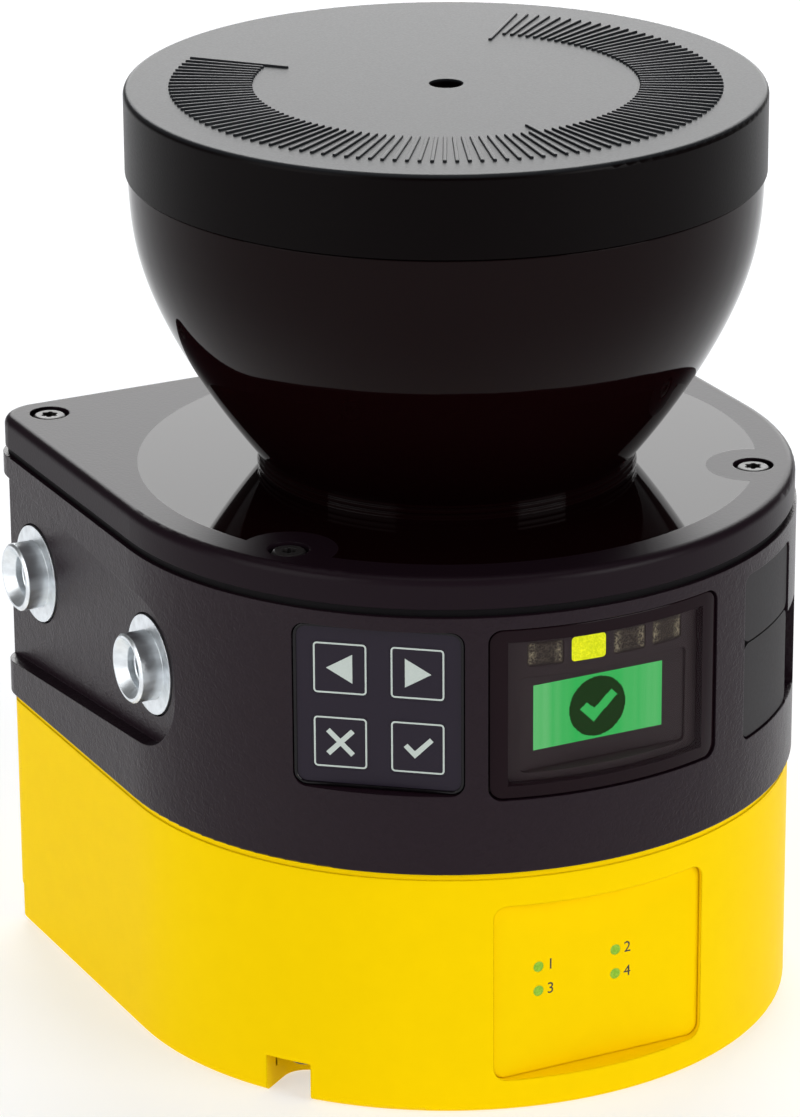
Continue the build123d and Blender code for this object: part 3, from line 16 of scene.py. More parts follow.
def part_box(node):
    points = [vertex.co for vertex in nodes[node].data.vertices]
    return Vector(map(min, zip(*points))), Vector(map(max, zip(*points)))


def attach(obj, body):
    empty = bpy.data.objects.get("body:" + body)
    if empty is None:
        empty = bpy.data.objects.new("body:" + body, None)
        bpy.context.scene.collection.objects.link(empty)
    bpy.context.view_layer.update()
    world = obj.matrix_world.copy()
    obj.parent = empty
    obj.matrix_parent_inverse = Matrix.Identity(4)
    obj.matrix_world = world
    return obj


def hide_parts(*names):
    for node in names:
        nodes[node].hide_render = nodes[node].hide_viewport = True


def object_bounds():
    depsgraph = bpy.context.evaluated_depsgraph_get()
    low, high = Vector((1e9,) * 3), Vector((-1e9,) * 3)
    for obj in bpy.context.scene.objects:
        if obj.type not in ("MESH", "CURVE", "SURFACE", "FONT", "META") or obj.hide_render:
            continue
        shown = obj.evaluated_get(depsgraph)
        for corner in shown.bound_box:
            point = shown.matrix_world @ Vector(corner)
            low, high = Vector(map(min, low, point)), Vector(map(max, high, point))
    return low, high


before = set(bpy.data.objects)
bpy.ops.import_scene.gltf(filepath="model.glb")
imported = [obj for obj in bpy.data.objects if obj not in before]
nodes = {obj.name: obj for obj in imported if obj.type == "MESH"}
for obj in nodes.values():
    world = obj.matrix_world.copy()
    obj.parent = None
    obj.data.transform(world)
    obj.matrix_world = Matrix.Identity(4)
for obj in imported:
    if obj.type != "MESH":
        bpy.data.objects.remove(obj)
cad_low, cad_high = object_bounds()
print("pieces in the solid model:", len(nodes))

# %% [markdown]
# The model is in metres, and the parts of a scanner are thought of in millimetres.
# One short name for a millimetre keeps the sizes readable. Most places are read from
# the solid model: the middle and the size of a piece's box are enough for that.

# %% Millimetres and boxes
MM = 0.001


def middle_of(name):
    """The middle of a solid piece's box."""
    low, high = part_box(name)
    return (Vector(low) + Vector(high)) / 2


def size_of(name):
    """The size of a solid piece's box."""
    low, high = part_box(name)
    return Vector(high) - Vector(low)


# %% [markdown]
# ## Camera
# The scanner is seen from the front left and from a little above, with a long lens.
# A long lens from far away keeps the upright edges nearly parallel, as in a catalogue.
# A small sideways shift frames the scanner without turning the camera.

# %% Camera
camera_data = bpy.data.cameras.new("camera")
camera_data.lens = 171.4
camera_data.sensor_width = 36
camera_data.shift_x = -0.0781
camera_data.shift_y = 0.00125
camera = bpy.data.objects.new("camera", camera_data)
camera.location = (-0.3663, -0.7136, 0.3756)
camera.rotation_euler = (radians(69.23), 0, radians(-27.63))
bpy.context.collection.objects.link(camera)
bpy.context.scene.camera = camera
print("camera distance:", round(camera.location.length, 3))

# %% [markdown]
# ## Making meshes
# A bmesh is Blender's workshop table: a shape is made on it with modelling operators
# and then put into a mesh. The first helper does the last step for every new piece: it
# moves the shape to its place, turns its faces outwards and gives it its finish.
# The object itself stays at the origin, so that patterns in its finish don't slide.

# %% From workshop table to finished piece
same_point = 0.0001 * MM


def finished_piece(name, shape, place, material):
    """Turn a bmesh into an object whose place is in its mesh."""
    bmesh.ops.transform(shape, matrix=place, verts=shape.verts)
    bmesh.ops.remove_doubles(shape, verts=shape.verts, dist=same_point)
    bmesh.ops.recalc_face_normals(shape, faces=shape.faces)
    mesh = bpy.data.meshes.new(name)
    shape.to_mesh(mesh)
    shape.free()
    mesh.materials.append(material)
    piece = bpy.data.objects.new(name, mesh)
    bpy.context.collection.objects.link(piece)
    return piece


# %% [markdown]
# Most new pieces here are thin: they are laid out flat and then given their thickness.
# Extruding makes a lifted copy of the flat shape with walls down to it, and only the
# copy's points are moved. Sharp edges are rounded by a small bevel, because no real
# edge is quite sharp and the round is what catches the light.

# %% Thickness and rounded edges
sharp_angle = radians(60)


def new_points(made):
    """The points among what an operator made."""
    return [item for item in made["geom"] if isinstance(item, bmesh.types.BMVert)]


def raise_flat(shape, height):
    """Give a flat shape on the table its thickness, straight up."""
    raised = bmesh.ops.extrude_face_region(shape, geom=list(shape.faces))
    bmesh.ops.translate(shape, vec=(0, 0, height), verts=new_points(raised))


def round_sharp_edges(shape, radius, chosen):
    """Round the sharp edges whose two points are both chosen; returns how many."""
    sharp = [edge for edge in shape.edges if edge.calc_face_angle(0) > sharp_angle
             and all(chosen(vertex.co) for vertex in edge.verts)]
    bmesh.ops.bevel(shape, geom=sharp, affect="EDGES", offset=radius, segments=3,
                    profile=0.5, material=-1, clamp_overlap=True)
    return len(sharp)


# %% [markdown]
# ## Building finishes
# A finish is a small graph of nodes around one Principled shader. A number that is the
# same all over a surface is set on the shader. What varies is wired in from a pattern.
# These helpers make the shader and its nodes, so that each finish below only says what
# is special about it.

# %% A shader and its nodes
def new_finish(name, color=(0.8, 0.8, 0.8), roughness=0.5, metallic=0.0, shine=0.5):
    """A material with a Principled shader; returns the material and its shader."""
    material = bpy.data.materials.new(name)
    material.use_nodes = True
    shader = material.node_tree.nodes["Principled BSDF"]
    shader.inputs["Base Color"].default_value = (*color, 1)
    shader.inputs["Roughness"].default_value = roughness
    shader.inputs["Metallic"].default_value = metallic
    shader.inputs["Specular IOR Level"].default_value = shine
    return material, shader


def put(material, socket, value):
    """Set a socket to a number, or wire another node's output into it."""
    if isinstance(value, bpy.types.NodeSocket):
        material.node_tree.links.new(value, socket)
    else:
        socket.default_value = value


def add_node(material, kind, **values):
    """Add a node and set its sockets: a number is set, another node's output is wired."""
    node = material.node_tree.nodes.new(kind)
    for name, value in values.items():
        put(material, node.inputs[name.replace("_", " ")], value)
    return node


# %% [markdown]
# Patterns are read at a place on the object and then reckoned with. A share is a number
# from 0 to 1 that says how much of something there is at a point, and most finishes
# are made of shares: one is reckoned out, and colour or roughness follows it.

# %% Reckoning with nodes
def sums(material, operation, *values):
    """One Math node; returns its result."""
    node = material.node_tree.nodes.new("ShaderNodeMath")
    node.operation = operation
    for socket, value in zip(node.inputs, values):
        put(material, socket, value)
    return node.outputs[0]


def rest_of(material, share):
    """What a share leaves of the whole."""
    return sums(material, "SUBTRACT", 1.0, share)


def away_from(material, value, middle):
    """How far a value is from a middle, to either side."""
    return sums(material, "ABSOLUTE", sums(material, "SUBTRACT", value, middle))


def between(material, share, low, high):
    """A number that runs from low to high as a share runs from 0 to 1."""
    ramp = add_node(material, "ShaderNodeMapRange", Value=share, To_Min=low, To_Max=high)
    return ramp.outputs["Result"]


def share_of_way(material, value, start, end):
    """The share that a value has covered of the way from start to end."""
    ramp = add_node(material, "ShaderNodeMapRange", Value=value, From_Min=start, From_Max=end)
    return ramp.outputs["Result"]


def step_over(material, value, edge, softness):
    """Runs from 0 to 1 where a value passes an edge."""
    return share_of_way(material, value, edge - softness, edge + softness)


# %% Places and patterns
def place_on_object(material, centre=(0, 0, 0)):
    """Object coordinates, counted from a centre."""
    coordinates = add_node(material, "ShaderNodeTexCoord").outputs["Object"]
    counted = add_node(material, "ShaderNodeMapping", Vector=coordinates)
    counted.vector_type = "TEXTURE"
    counted.inputs["Location"].default_value = centre
    return counted.outputs["Vector"]


def along(material, place, axis):
    """How far along X, Y or Z a place lies."""
    return add_node(material, "ShaderNodeSeparateXYZ", Vector=place).outputs[axis]


def speckle(material, size, detail=3.0, where=None, distortion=0.0):
    """Noise whose grains are about the given size across."""
    where = where or place_on_object(material)
    noise = add_node(material, "ShaderNodeTexNoise", Vector=where, Scale=1 / size,
                     Detail=detail, Distortion=distortion)
    return noise.outputs["Fac"]


wave_rate = 20  # radians that Blender's wave runs through in one unit at scale 1


def ripples(material, place, kind, radian, **values):
    """A wave pattern that takes the given length for each radian."""
    wave = add_node(material, "ShaderNodeTexWave", Vector=place,
                    Scale=1 / (wave_rate * radian), **values)
    wave.wave_type = kind
    return wave


# %% Colour, roughness and relief from a pattern
def blend_colors(material, share, first, second):
    """Mix two colours by a share."""
    mix = material.node_tree.nodes.new("ShaderNodeMix")
    mix.data_type = "RGBA"
    share_socket, first_socket, second_socket = [s for s in mix.inputs if s.enabled]
    put(material, share_socket, share)
    put(material, first_socket, (*first, 1) if isinstance(first, tuple) else first)
    put(material, second_socket, (*second, 1) if isinstance(second, tuple) else second)
    return next(s for s in mix.outputs if s.enabled)


def vary_color(material, shader, share, first, second):
    """Let the colour run from the first to the second as a share runs from 0 to 1."""
    put(material, shader.inputs["Base Color"], blend_colors(material, share, first, second))


def vary_roughness(material, shader, share, low, high):
    """Let the roughness run from low to high as a share runs from 0 to 1."""
    put(material, shader.inputs["Roughness"], between(material, share, low, high))


def emboss(material, shader, height, depth, strength, edge=0.0):
    """Let a height pattern catch the light as a bump; edge softens corners by that radius."""
    bump = add_node(material, "ShaderNodeBump", Height=height, Distance=depth, Strength=strength)
    if edge:
        rounded = add_node(material, "ShaderNodeBevel", Radius=edge)
        rounded.samples = 4
        put(material, bump.inputs["Normal"], rounded.outputs["Normal"])
    put(material, shader.inputs["Normal"], bump.outputs["Normal"])


def dress(names, material):
    """Give solid-model pieces their finish."""
    for name in names:
        mesh = nodes[name].data
        mesh.materials.clear()
        mesh.materials.append(material)
    print(material.name, "on", ", ".join(names))


# %% [markdown]
# ## Yellow base
# The base is die-cast and painted in a warm safety yellow. Paint on a casting is never
# quite flat: it has a faint orange peel, a few millimetres across, and fine grains.
# A very shallow bump gives both, and the colour varies by a hair so that it stays alive.

# %% Yellow paint
yellow_paint, shader = new_finish("yellow_paint", shine=0.015)
peel = speckle(yellow_paint, size=4 * MM, detail=1.0)
grain = speckle(yellow_paint, size=0.5 * MM, detail=2.0)
vary_color(yellow_paint, shader, peel, (0.97, 0.655, 0.0), (1.0, 0.68, 0.0))
vary_roughness(yellow_paint, shader, grain, 0.34, 0.44)
peel_and_grain = sums(yellow_paint, "ADD", peel, grain)
emboss(yellow_paint, shader, peel_and_grain, depth=0.03 * MM, strength=0.4, edge=0.35 * MM)
dress(["base_housing", "network_label"], yellow_paint)

# %% [markdown]
# ## Black housing
# The middle casting has a wrinkle paint: tiny soft folds, about a millimetre wide,
# that break every reflection into fine streaks. Noise that is distorted by itself makes
# the folds, and a slower noise lets them swell and sink in patches. The paint is black
# with a trace of plum, and painted a little darker in the folds' valleys as painted shade.

# %% Wrinkle paint
wrinkle_paint, shader = new_finish("wrinkle_paint", roughness=0.30, shine=0.17)
place = place_on_object(wrinkle_paint)
patches = speckle(wrinkle_paint, size=3 * MM, detail=2.0, where=place)
folds = speckle(wrinkle_paint, size=0.9 * MM, detail=4.0, where=place, distortion=1.2)
swelling = sums(wrinkle_paint, "MULTIPLY", patches, 0.6)
relief = sums(wrinkle_paint, "ADD", folds, swelling)
# Darker colour in the folds' valleys is painted shade in the creases.
vary_color(wrinkle_paint, shader, folds, (0.009, 0.0030, 0.0062), (0.016, 0.0078, 0.0125))
emboss(wrinkle_paint, shader, relief, depth=0.12 * MM, strength=0.8, edge=0.2 * MM)
dress(["middle_housing"], wrinkle_paint)

# %% [markdown]
# ## Optics cover
# Lid, neck and bowl are one moulding in a plastic that looks black but lets the laser
# through. The bowl and a round disc on the lid are polished. The lid's border and the
# small bays round its screws have a fine matt grain. One finish can do both: it asks
# each point how far it is from the scan axis and from the nearest screw.

# %% Where the cover is polished
def distance_from(material, place, x, y, mirrored=False):
    """Distance from an upright line; mirrored also counts its twin on the other side."""
    sideways = along(material, place, "X")
    if mirrored:
        sideways = sums(material, "ABSOLUTE", sideways)
    sideways = sums(material, "SUBTRACT", sideways, x)
    backward = sums(material, "SUBTRACT", along(material, place, "Y"), y)
    squares = [sums(material, "MULTIPLY", side, side) for side in (sideways, backward)]
    return sums(material, "SQRT", sums(material, "ADD", *squares))


disc_radius = 49.5 * MM
bay_radius = 7.6 * MM
bay_blend = 2 * MM
soft_edge = 0.06 * MM
lid_top = 89.4 * MM
moulded_cover, shader = new_finish("moulded_cover", shine=0.08)
place = place_on_object(moulded_cover)
from_axis = distance_from(moulded_cover, place, x=0, y=0)
front_screw = distance_from(moulded_cover, place, x=41 * MM, y=-26.8 * MM, mirrored=True)
back_screw = distance_from(moulded_cover, place, x=48.4 * MM, y=48.2 * MM, mirrored=True)
from_screw = sums(moulded_cover, "SMOOTH_MIN", front_screw, back_screw, bay_blend)
outside_bays = step_over(moulded_cover, from_screw, bay_radius, softness=soft_edge)
outside_disc = step_over(moulded_cover, from_axis, disc_radius, softness=soft_edge)
disc_share = sums(moulded_cover, "MULTIPLY", rest_of(moulded_cover, outside_disc), outside_bays)
height_up = along(moulded_cover, place, "Z")
above_lid = step_over(moulded_cover, height_up, lid_top + 0.6 * MM, softness=0.3 * MM)
matt_share = rest_of(moulded_cover, sums(moulded_cover, "MAXIMUM", above_lid, disc_share))

# %% Polished and grained plastic
vary_roughness(moulded_cover, shader, matt_share, 0.035, 0.34)
vary_color(moulded_cover, shader, matt_share, (0.0045, 0.0008, 0.001), (0.010, 0.005, 0.008))
lid_grain = speckle(moulded_cover, size=0.45 * MM, detail=2.0)
matt_grain = sums(moulded_cover, "MULTIPLY", lid_grain, matt_share)
emboss(moulded_cover, shader, matt_grain, depth=0.03 * MM, strength=0.5, edge=0.3 * MM)
dress(["optics_cover"], moulded_cover)

# %% [markdown]
# ## Cap
# The cap is a satin moulding in black. Seen at a low angle its flat top turns grey,
# because a satin surface mirrors more light the flatter it is looked at. The marks of
# the angle scale stand a little above the top, so their near sides stay dark and draw
# the scale by themselves. The top is also painted a shade greyer than the rim, as a
# painted sheen of that low-angle light.

# %% Satin cap
rib_height = 0.3 * MM
cap_flat = cad_high[2] - rib_height
satin_cap, shader = new_finish("satin_cap", shine=0.06)
cap_grain = speckle(satin_cap, size=0.4 * MM, detail=2.0)
cap_height = along(satin_cap, place_on_object(satin_cap), "Z")
painted_sheen_on_top = step_over(satin_cap, cap_height, cap_flat - 0.3 * MM, softness=0.2 * MM)
# The flat top's greyer colour is a painted sheen, not a different plastic.
vary_color(satin_cap, shader, painted_sheen_on_top, (0.0015, 0.0004, 0.0005), (0.018, 0.0195, 0.022))
vary_roughness(satin_cap, shader, cap_grain, 0.30, 0.40)
emboss(satin_cap, shader, cap_grain, depth=0.03 * MM, strength=0.4, edge=0.12 * MM)
dress(["top_cap"], satin_cap)
print("flat top of the cap:", round(cap_flat / MM, 1), "mm up")

# %% [markdown]
# ## Rubber
# The port's cover and the rings under the sockets are matt black rubber. Rubber has
# almost no shine, and a dry, slightly mottled skin.

# %% Rubber
black_rubber, shader = new_finish("black_rubber", shine=0.3)
skin = speckle(black_rubber, size=0.6 * MM, detail=4.0)
vary_color(black_rubber, shader, skin, (0.014, 0.013, 0.014), (0.028, 0.025, 0.027))
vary_roughness(black_rubber, shader, skin, 0.52, 0.72)
emboss(black_rubber, shader, skin, depth=0.03 * MM, strength=0.5)
dress(["port_plug", "port_flap", "connector_seals"], black_rubber)

# %% [markdown]
# The seals between the casings are the same rubber, but they lie deep in their joints.
# They are painted nearly black, as painted shade of the joints.

# %% Rubber darkened by painted joint shade
joint_shade_rubber, shader = new_finish("joint_shade_rubber", shine=0.08)
seal_mottle = speckle(joint_shade_rubber, size=0.8 * MM, detail=2.0)
# Near-black colour: painted shade of the joint, darker than the same rubber outside.
vary_color(joint_shade_rubber, shader, seal_mottle, (0.003, 0.0025, 0.003), (0.006, 0.005, 0.006))
vary_roughness(joint_shade_rubber, shader, seal_mottle, 0.4, 0.6)
dress(["base_gasket", "cover_gasket", "cap_seal"], joint_shade_rubber)

# %% [markdown]
# ## Turned metal
# The sockets are turned on a lathe. The tool leaves shallow rings round the axis, which
# stretch a highlight across them, and use leaves smudges that dull it here and there.
# A ring pattern round each socket's own axis is the honest way, so each socket gets its
# own copy of the finish. The axis is the middle of the socket's box.

# %% Metal with rings round an axis
metal_color = (0.88, 0.92, 0.95)
worn_color = tuple(0.8 * part for part in metal_color)


def turned_metal(name, centre):
    """Bright metal with lathe rings round an axis along X through the centre."""
    material, shader = new_finish(name, metallic=1.0)
    place = place_on_object(material, centre)
    rings = ripples(material, place, "RINGS", radian=0.22 * MM, Distortion=0.4, Detail=2.0)
    rings.rings_direction = "X"
    drawn_out = add_node(material, "ShaderNodeMapping", Vector=place, Scale=(0.3, 1, 1))
    smudge = speckle(material, size=1.3 * MM, detail=3.0, where=drawn_out.outputs["Vector"])
    bright = step_over(material, smudge, 0.45, softness=0.2)
    vary_color(material, shader, bright, worn_color, metal_color)
    vary_roughness(material, shader, smudge, 0.30, 0.44)
    emboss(material, shader, rings.outputs["Fac"], depth=0.002 * MM, strength=0.3,
           edge=0.2 * MM)
    return material


network_sockets = ["network_socket_1", "network_socket_2"]
for name in network_sockets + ["power_inlet"]:
    middle = middle_of(name)
    dress([name], turned_metal("turned_" + name, (0, middle.y, middle.z)))

# %% [markdown]
# Shafts, nuts, bearings and the keys' snap domes are plain steel. Handling has left it
# a little uneven, so one speckle drives its shine and its shade together.

# %% Plain steel
plain_steel, shader = new_finish("plain_steel", metallic=1.0)
handling = speckle(plain_steel, size=0.8 * MM, detail=4.0)
vary_color(plain_steel, shader, handling, (0.20, 0.19, 0.19), (0.42, 0.41, 0.41))
vary_roughness(plain_steel, shader, handling, 0.2, 0.42)
emboss(plain_steel, shader, handling, depth=0.01 * MM, strength=0.3)
dress(["key_domes", "service_port", "connector_nuts",
       "rotor_shaft", "motor_bearings", "encoder_disc"], plain_steel)

# %% [markdown]
# The screws are blackened steel. What is seen is the black oxide and not bare metal, so
# a head is a dark surface with a weak shine, and only its rounded edge and the corners
# of its drive glint.

# %% Blackened screws
black_steel, shader = new_finish("black_steel", shine=0.2)
coating = speckle(black_steel, size=0.5 * MM, detail=4.0)
vary_color(black_steel, shader, coating, (0.012, 0.011, 0.011), (0.035, 0.032, 0.032))
vary_roughness(black_steel, shader, coating, 0.2, 0.42)
emboss(black_steel, shader, coating, depth=0.01 * MM, strength=0.3, edge=0.25 * MM)
dress(["base_screws", "cover_screws"], black_steel)

# %% [markdown]
# ## Keypad
# The four keys and the frame round them are one family: a dark satin foil over
# plastic. The foil is a shade bluer than the housing and much smoother.

# %% Keypad foil
keypad_foil, shader = new_finish("keypad_foil_finish", shine=0.25)
weave = speckle(keypad_foil, size=0.3 * MM, detail=2.0)
vary_color(keypad_foil, shader, weave, (0.009, 0.0045, 0.0125), (0.013, 0.0075, 0.018))
vary_roughness(keypad_foil, shader, weave, 0.30, 0.40)
emboss(keypad_foil, shader, weave, depth=0.008 * MM, strength=0.3, edge=0.12 * MM)
dress(["keypad_foil", "key_previous", "key_next", "key_cancel", "key_confirm"], keypad_foil)

# %% [markdown]
# The holders and inserts inside are moulded in a plain dark plastic. It flows into its
# mould in slow swells, which show as soft changes in its shine.

# %% Dark moulded plastic inside
dark_moulding, shader = new_finish("dark_moulding", color=(0.02, 0.019, 0.019))
swells = speckle(dark_moulding, size=2 * MM, detail=1.0)
vary_roughness(dark_moulding, shader, swells, 0.42, 0.58)
emboss(dark_moulding, shader, swells, depth=0.02 * MM, strength=0.4)
dress(["connector_inserts", "base_connector", "main_connector", "optics_tray",
       "emission_tube", "mirror_carrier", "encoder_sensor"], dark_moulding)

# %% [markdown]
# The surround of the display is the same plastic, but it lies behind the smoked window.
# It is painted a lighter warm brown-grey, as painted light, so it shows through the tint.

# %% Surround of the display
surround, shader = new_finish("display_surround")
moulded_skin = speckle(surround, size=3 * MM, detail=1.0)
# Painted light: this colour is lighter than the same dark plastic elsewhere.
vary_color(surround, shader, moulded_skin, (0.085, 0.062, 0.066), (0.105, 0.078, 0.082))
vary_roughness(surround, shader, moulded_skin, 0.36, 0.5)
emboss(surround, shader, moulded_skin, depth=0.02 * MM, strength=0.3, edge=0.25 * MM)
dress(["display_bezel", "display_module"], surround)

# %% [markdown]
# ## Circuit boards
# A board is glass fibre under a green varnish, with copper tracks that show as a
# slightly lighter, raised pattern. A brick pattern read from above makes tracks
# that run straight and turn square, as real ones do.

# %% Green boards
green_board, shader = new_finish("green_board", roughness=0.3)
tracks = add_node(green_board, "ShaderNodeTexBrick", Vector=place_on_object(green_board),
                  Scale=1 / (6 * MM), Mortar_Size=0.05, Color1=(0.008, 0.075, 0.026, 1),
                  Color2=(0.010, 0.095, 0.034, 1), Mortar=(0.03, 0.17, 0.06, 1))
put(green_board, shader.inputs["Base Color"], tracks.outputs["Color"])
emboss(green_board, shader, tracks.outputs["Fac"], depth=0.03 * MM, strength=0.5)
dress(["keypad_board", "display_board", "service_board", "network_board", "power_board",
       "main_board", "receiver_board"], green_board)

# %% [markdown]
# ## Motor, mirror and lenses
# These sit inside the closed bowl, but they get honest finishes too, because the model
# may be taken apart. The motor is plain machined aluminium, its core is dark iron,
# the mirror is silvered on its face, and the lenses are clear.

# %% Metals of the motor
machined_aluminium, shader = new_finish("machined_aluminium", color=(0.66, 0.67, 0.68),
                                        metallic=1.0)
cuts = ripples(machined_aluminium, place_on_object(machined_aluminium), "RINGS",
               radian=0.45 * MM, Distortion=0.5)
cuts.rings_direction = "Z"
vary_roughness(machined_aluminium, shader, cuts.outputs["Fac"], 0.28, 0.4)
emboss(machined_aluminium, shader, cuts.outputs["Fac"], depth=0.006 * MM, strength=0.5)
dress(["motor_flange", "motor_can"], machined_aluminium)

dark_iron, shader = new_finish("dark_iron", color=(0.09, 0.085, 0.085), metallic=0.8)
sheets = speckle(dark_iron, size=0.7 * MM)
vary_roughness(dark_iron, shader, sheets, 0.45, 0.68)
emboss(dark_iron, shader, sheets, depth=0.02 * MM, strength=0.5)
dress(["motor_stator", "rotor_magnet"], dark_iron)

# %% Brass, gold and amber film
brass, shader = new_finish("turned_brass", metallic=1.0)
tarnish = speckle(brass, size=1.5 * MM)
vary_color(brass, shader, tarnish, (0.62, 0.42, 0.18), (0.80, 0.60, 0.30))
vary_roughness(brass, shader, tarnish, 0.2, 0.4)
dress(["laser_module"], brass)

gold_plate, shader = new_finish("gold_plate", color=(0.90, 0.66, 0.26), metallic=1.0)
plating = speckle(gold_plate, size=0.3 * MM)
vary_roughness(gold_plate, shader, plating, 0.16, 0.3)
dress(["connector_contacts"], gold_plate)

amber_film, shader = new_finish("amber_film", roughness=0.3)
leads = ripples(amber_film, place_on_object(amber_film), "BANDS", radian=1 * MM)
vary_color(amber_film, shader, leads.outputs["Fac"], (0.34, 0.12, 0.02), (0.52, 0.22, 0.05))
dress(["motor_ribbon"], amber_film)

# %% Mirror and clear lenses
silvered, shader = new_finish("silvered_face", color=(0.90, 0.91, 0.92), metallic=1.0)
haze = speckle(silvered, size=6 * MM)
vary_roughness(silvered, shader, haze, 0.012, 0.03)
dress(["scan_mirror"], silvered)

clear_lens, shader = new_finish("clear_lens", color=(0.95, 0.98, 0.98))
shader.inputs["Transmission Weight"].default_value = 1.0
shader.inputs["IOR"].default_value = 1.49
streaks = speckle(clear_lens, size=5 * MM)
vary_roughness(clear_lens, shader, streaks, 0.01, 0.03)
dress(["receiver_lens", "collimator_lens"], clear_lens)

# %% [markdown]
# ## Smoked window
# The window over the display is a thin smoked panel: it hides what is behind it unless
# that is lit. Its tint is a film on the outer skin, so only the outer skin holds light
# back, and the inner skin is left clear. Round its edge the panel is printed black,
# which hides the ledge that the window is glued to. The finish tells the skins apart by
# their distance from the scan axis, and the print by its angle and height on the panel.

# %% Smoked window
window_border = 2.1 * MM
window_half_angle = 17.7
between_skins = 55 * MM
film_strength = 0.55


def angle_from_front(material, place):
    """Angle round the scan axis in degrees, counted from the front."""
    forward = sums(material, "MULTIPLY", along(material, place, "Y"), -1.0)
    turn = sums(material, "ARCTAN2", along(material, place, "X"), forward)
    return sums(material, "MULTIPLY", turn, 180 / pi)


smoked_window, shader = new_finish("smoked_window", color=(0.010, 0.004, 0.006), shine=0.08)
place = place_on_object(smoked_window)
from_axis = distance_from(smoked_window, place, x=0, y=0)
outer_skin = step_over(smoked_window, from_axis, between_skins, softness=0.1 * MM)
film = between(smoked_window, outer_skin, 0.0, film_strength)
sideways = sums(smoked_window, "ABSOLUTE", angle_from_front(smoked_window, place))
side_print = step_over(smoked_window, sideways, window_half_angle, softness=0.05)
window_level = middle_of("display_window").z
clear_reach = size_of("display_window").z / 2 - window_border
off_level = away_from(smoked_window, along(smoked_window, place, "Z"), window_level)
level_print = step_over(smoked_window, off_level, clear_reach, softness=0.05 * MM)
printed = sums(smoked_window, "MAXIMUM", side_print, level_print)
put(smoked_window, shader.inputs["Alpha"], sums(smoked_window, "MAXIMUM", printed, film))
waviness = speckle(smoked_window, size=9 * MM, detail=1.0)
vary_roughness(smoked_window, shader, waviness, 0.02, 0.06)
print("clear part of the window:", 2 * window_half_angle, "degrees wide")

# %% [markdown]
# The panel itself starts as a copy of the solid one. Its loose triangles are merged and
# its flat parts made whole first. Its inner skin is drawn out by a few tenths of a
# millimetre, the thickness of the glue that it lies on. Its outer rim gets a small real
# bevel, and that thin line is what catches the light round a panel.

# %% Window with a bevelled rim
glue = 0.2 * MM
drawn_out = 1 + glue / between_skins
rim_bevel = 0.22 * MM
shared_corner = 0.001 * MM
nearly_flat = radians(0.5)
shape = bmesh.new()
shape.from_mesh(nodes["display_window"].data)
bmesh.ops.remove_doubles(shape, verts=shape.verts, dist=shared_corner)
bmesh.ops.dissolve_limit(shape, angle_limit=nearly_flat, verts=shape.verts, edges=shape.edges)
inner_skin = [vertex for vertex in shape.verts if vertex.co.xy.length < between_skins]
bmesh.ops.scale(shape, vec=(drawn_out, drawn_out, 1), verts=inner_skin)
rim_edges = round_sharp_edges(shape, rim_bevel, lambda point: point.xy.length > between_skins)
window_panel = finished_piece("window_panel", shape, Matrix.Identity(4), smoked_window)
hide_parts("display_window")
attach(window_panel, "housing")
print("window rim edges:", rim_edges)

# %% [markdown]
# ## Lit display
# The display is a green liquid-crystal panel with its own light. Both sides are paler
# than the middle, and the panel shows faint upright bands and the fine rows of its
# picture points. The finish makes all three from the place on the panel.

# %% Lit display
left_glow = (0.155, 0.49, 0.185)
middle_glow = (0.04, 0.41, 0.09)
right_glow = (0.125, 0.47, 0.16)
band_glow = (0.015, 0.40, 0.075)
row_glow = (0.03, 0.30, 0.07)
left_fade, right_fade = 7 * MM, 9 * MM
point_pitch = 0.17 * MM
screen_low, screen_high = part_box("display_screen")

lit_screen, shader = new_finish("lit_screen", color=(0.02, 0.08, 0.03), roughness=0.3,
                                shine=0.15)
place = place_on_object(lit_screen)
rightward = along(lit_screen, place, "X")
from_left = share_of_way(lit_screen, rightward, screen_low[0], screen_low[0] + left_fade)
to_right = share_of_way(lit_screen, rightward, screen_high[0] - right_fade, screen_high[0])
upright = add_node(lit_screen, "ShaderNodeCombineXYZ", X=rightward).outputs["Vector"]
bands = speckle(lit_screen, size=1.8 * MM, detail=1.0, where=upright)
row_turn = sums(lit_screen, "MULTIPLY", along(lit_screen, place, "Z"), 2 * pi / point_pitch)
band_share = between(lit_screen, bands, -0.5, 1.2)
row_share = between(lit_screen, sums(lit_screen, "SINE", row_turn), 0.0, 0.12)
glow = blend_colors(lit_screen, from_left, left_glow, middle_glow)
glow = blend_colors(lit_screen, to_right, glow, right_glow)
glow = blend_colors(lit_screen, band_share, glow, band_glow)
glow = blend_colors(lit_screen, row_share, glow, row_glow)
put(lit_screen, shader.inputs["Emission Color"], glow)
shader.inputs["Emission Strength"].default_value = 2.2
dress(["display_screen"], lit_screen)

# %% [markdown]
# ## Status lights
# Each status light is a small reflector behind the smoked window. Its foil is crumpled,
# and an unlit one gets painted glints and a faint painted glow, most at its two bent-up ends.
# The second light is on and shines yellow-green, with a brighter patch over its lamp.
# The lights stand at equal angles, so one finish finds each light's own middle by
# folding the angle round the axis over their pitch.

# %% Crumpled foil
def crumpled_foil(material):
    """A share of fine glints of a crumpled foil: painted glints on an unlit light, mottling on a
    lit one.
    """
    place = place_on_object(material)
    facets = add_node(material, "ShaderNodeTexVoronoi", Vector=place, Scale=1 / (0.3 * MM))
    creases = speckle(material, size=0.9 * MM)
    glints = sums(material, "MULTIPLY", facets.outputs["Distance"], creases)
    return share_of_way(material, glints, 0.1, 0.45)


# %% Unlit lights
light_pitch = 7.5
light_half_angle = 3.05
bend_starts = 0.68 * light_half_angle
rim_starts = 0.9 * light_half_angle
light_level = middle_of("status_light_2").z
level_rim_starts = 0.8 * size_of("status_light_2").z / 2

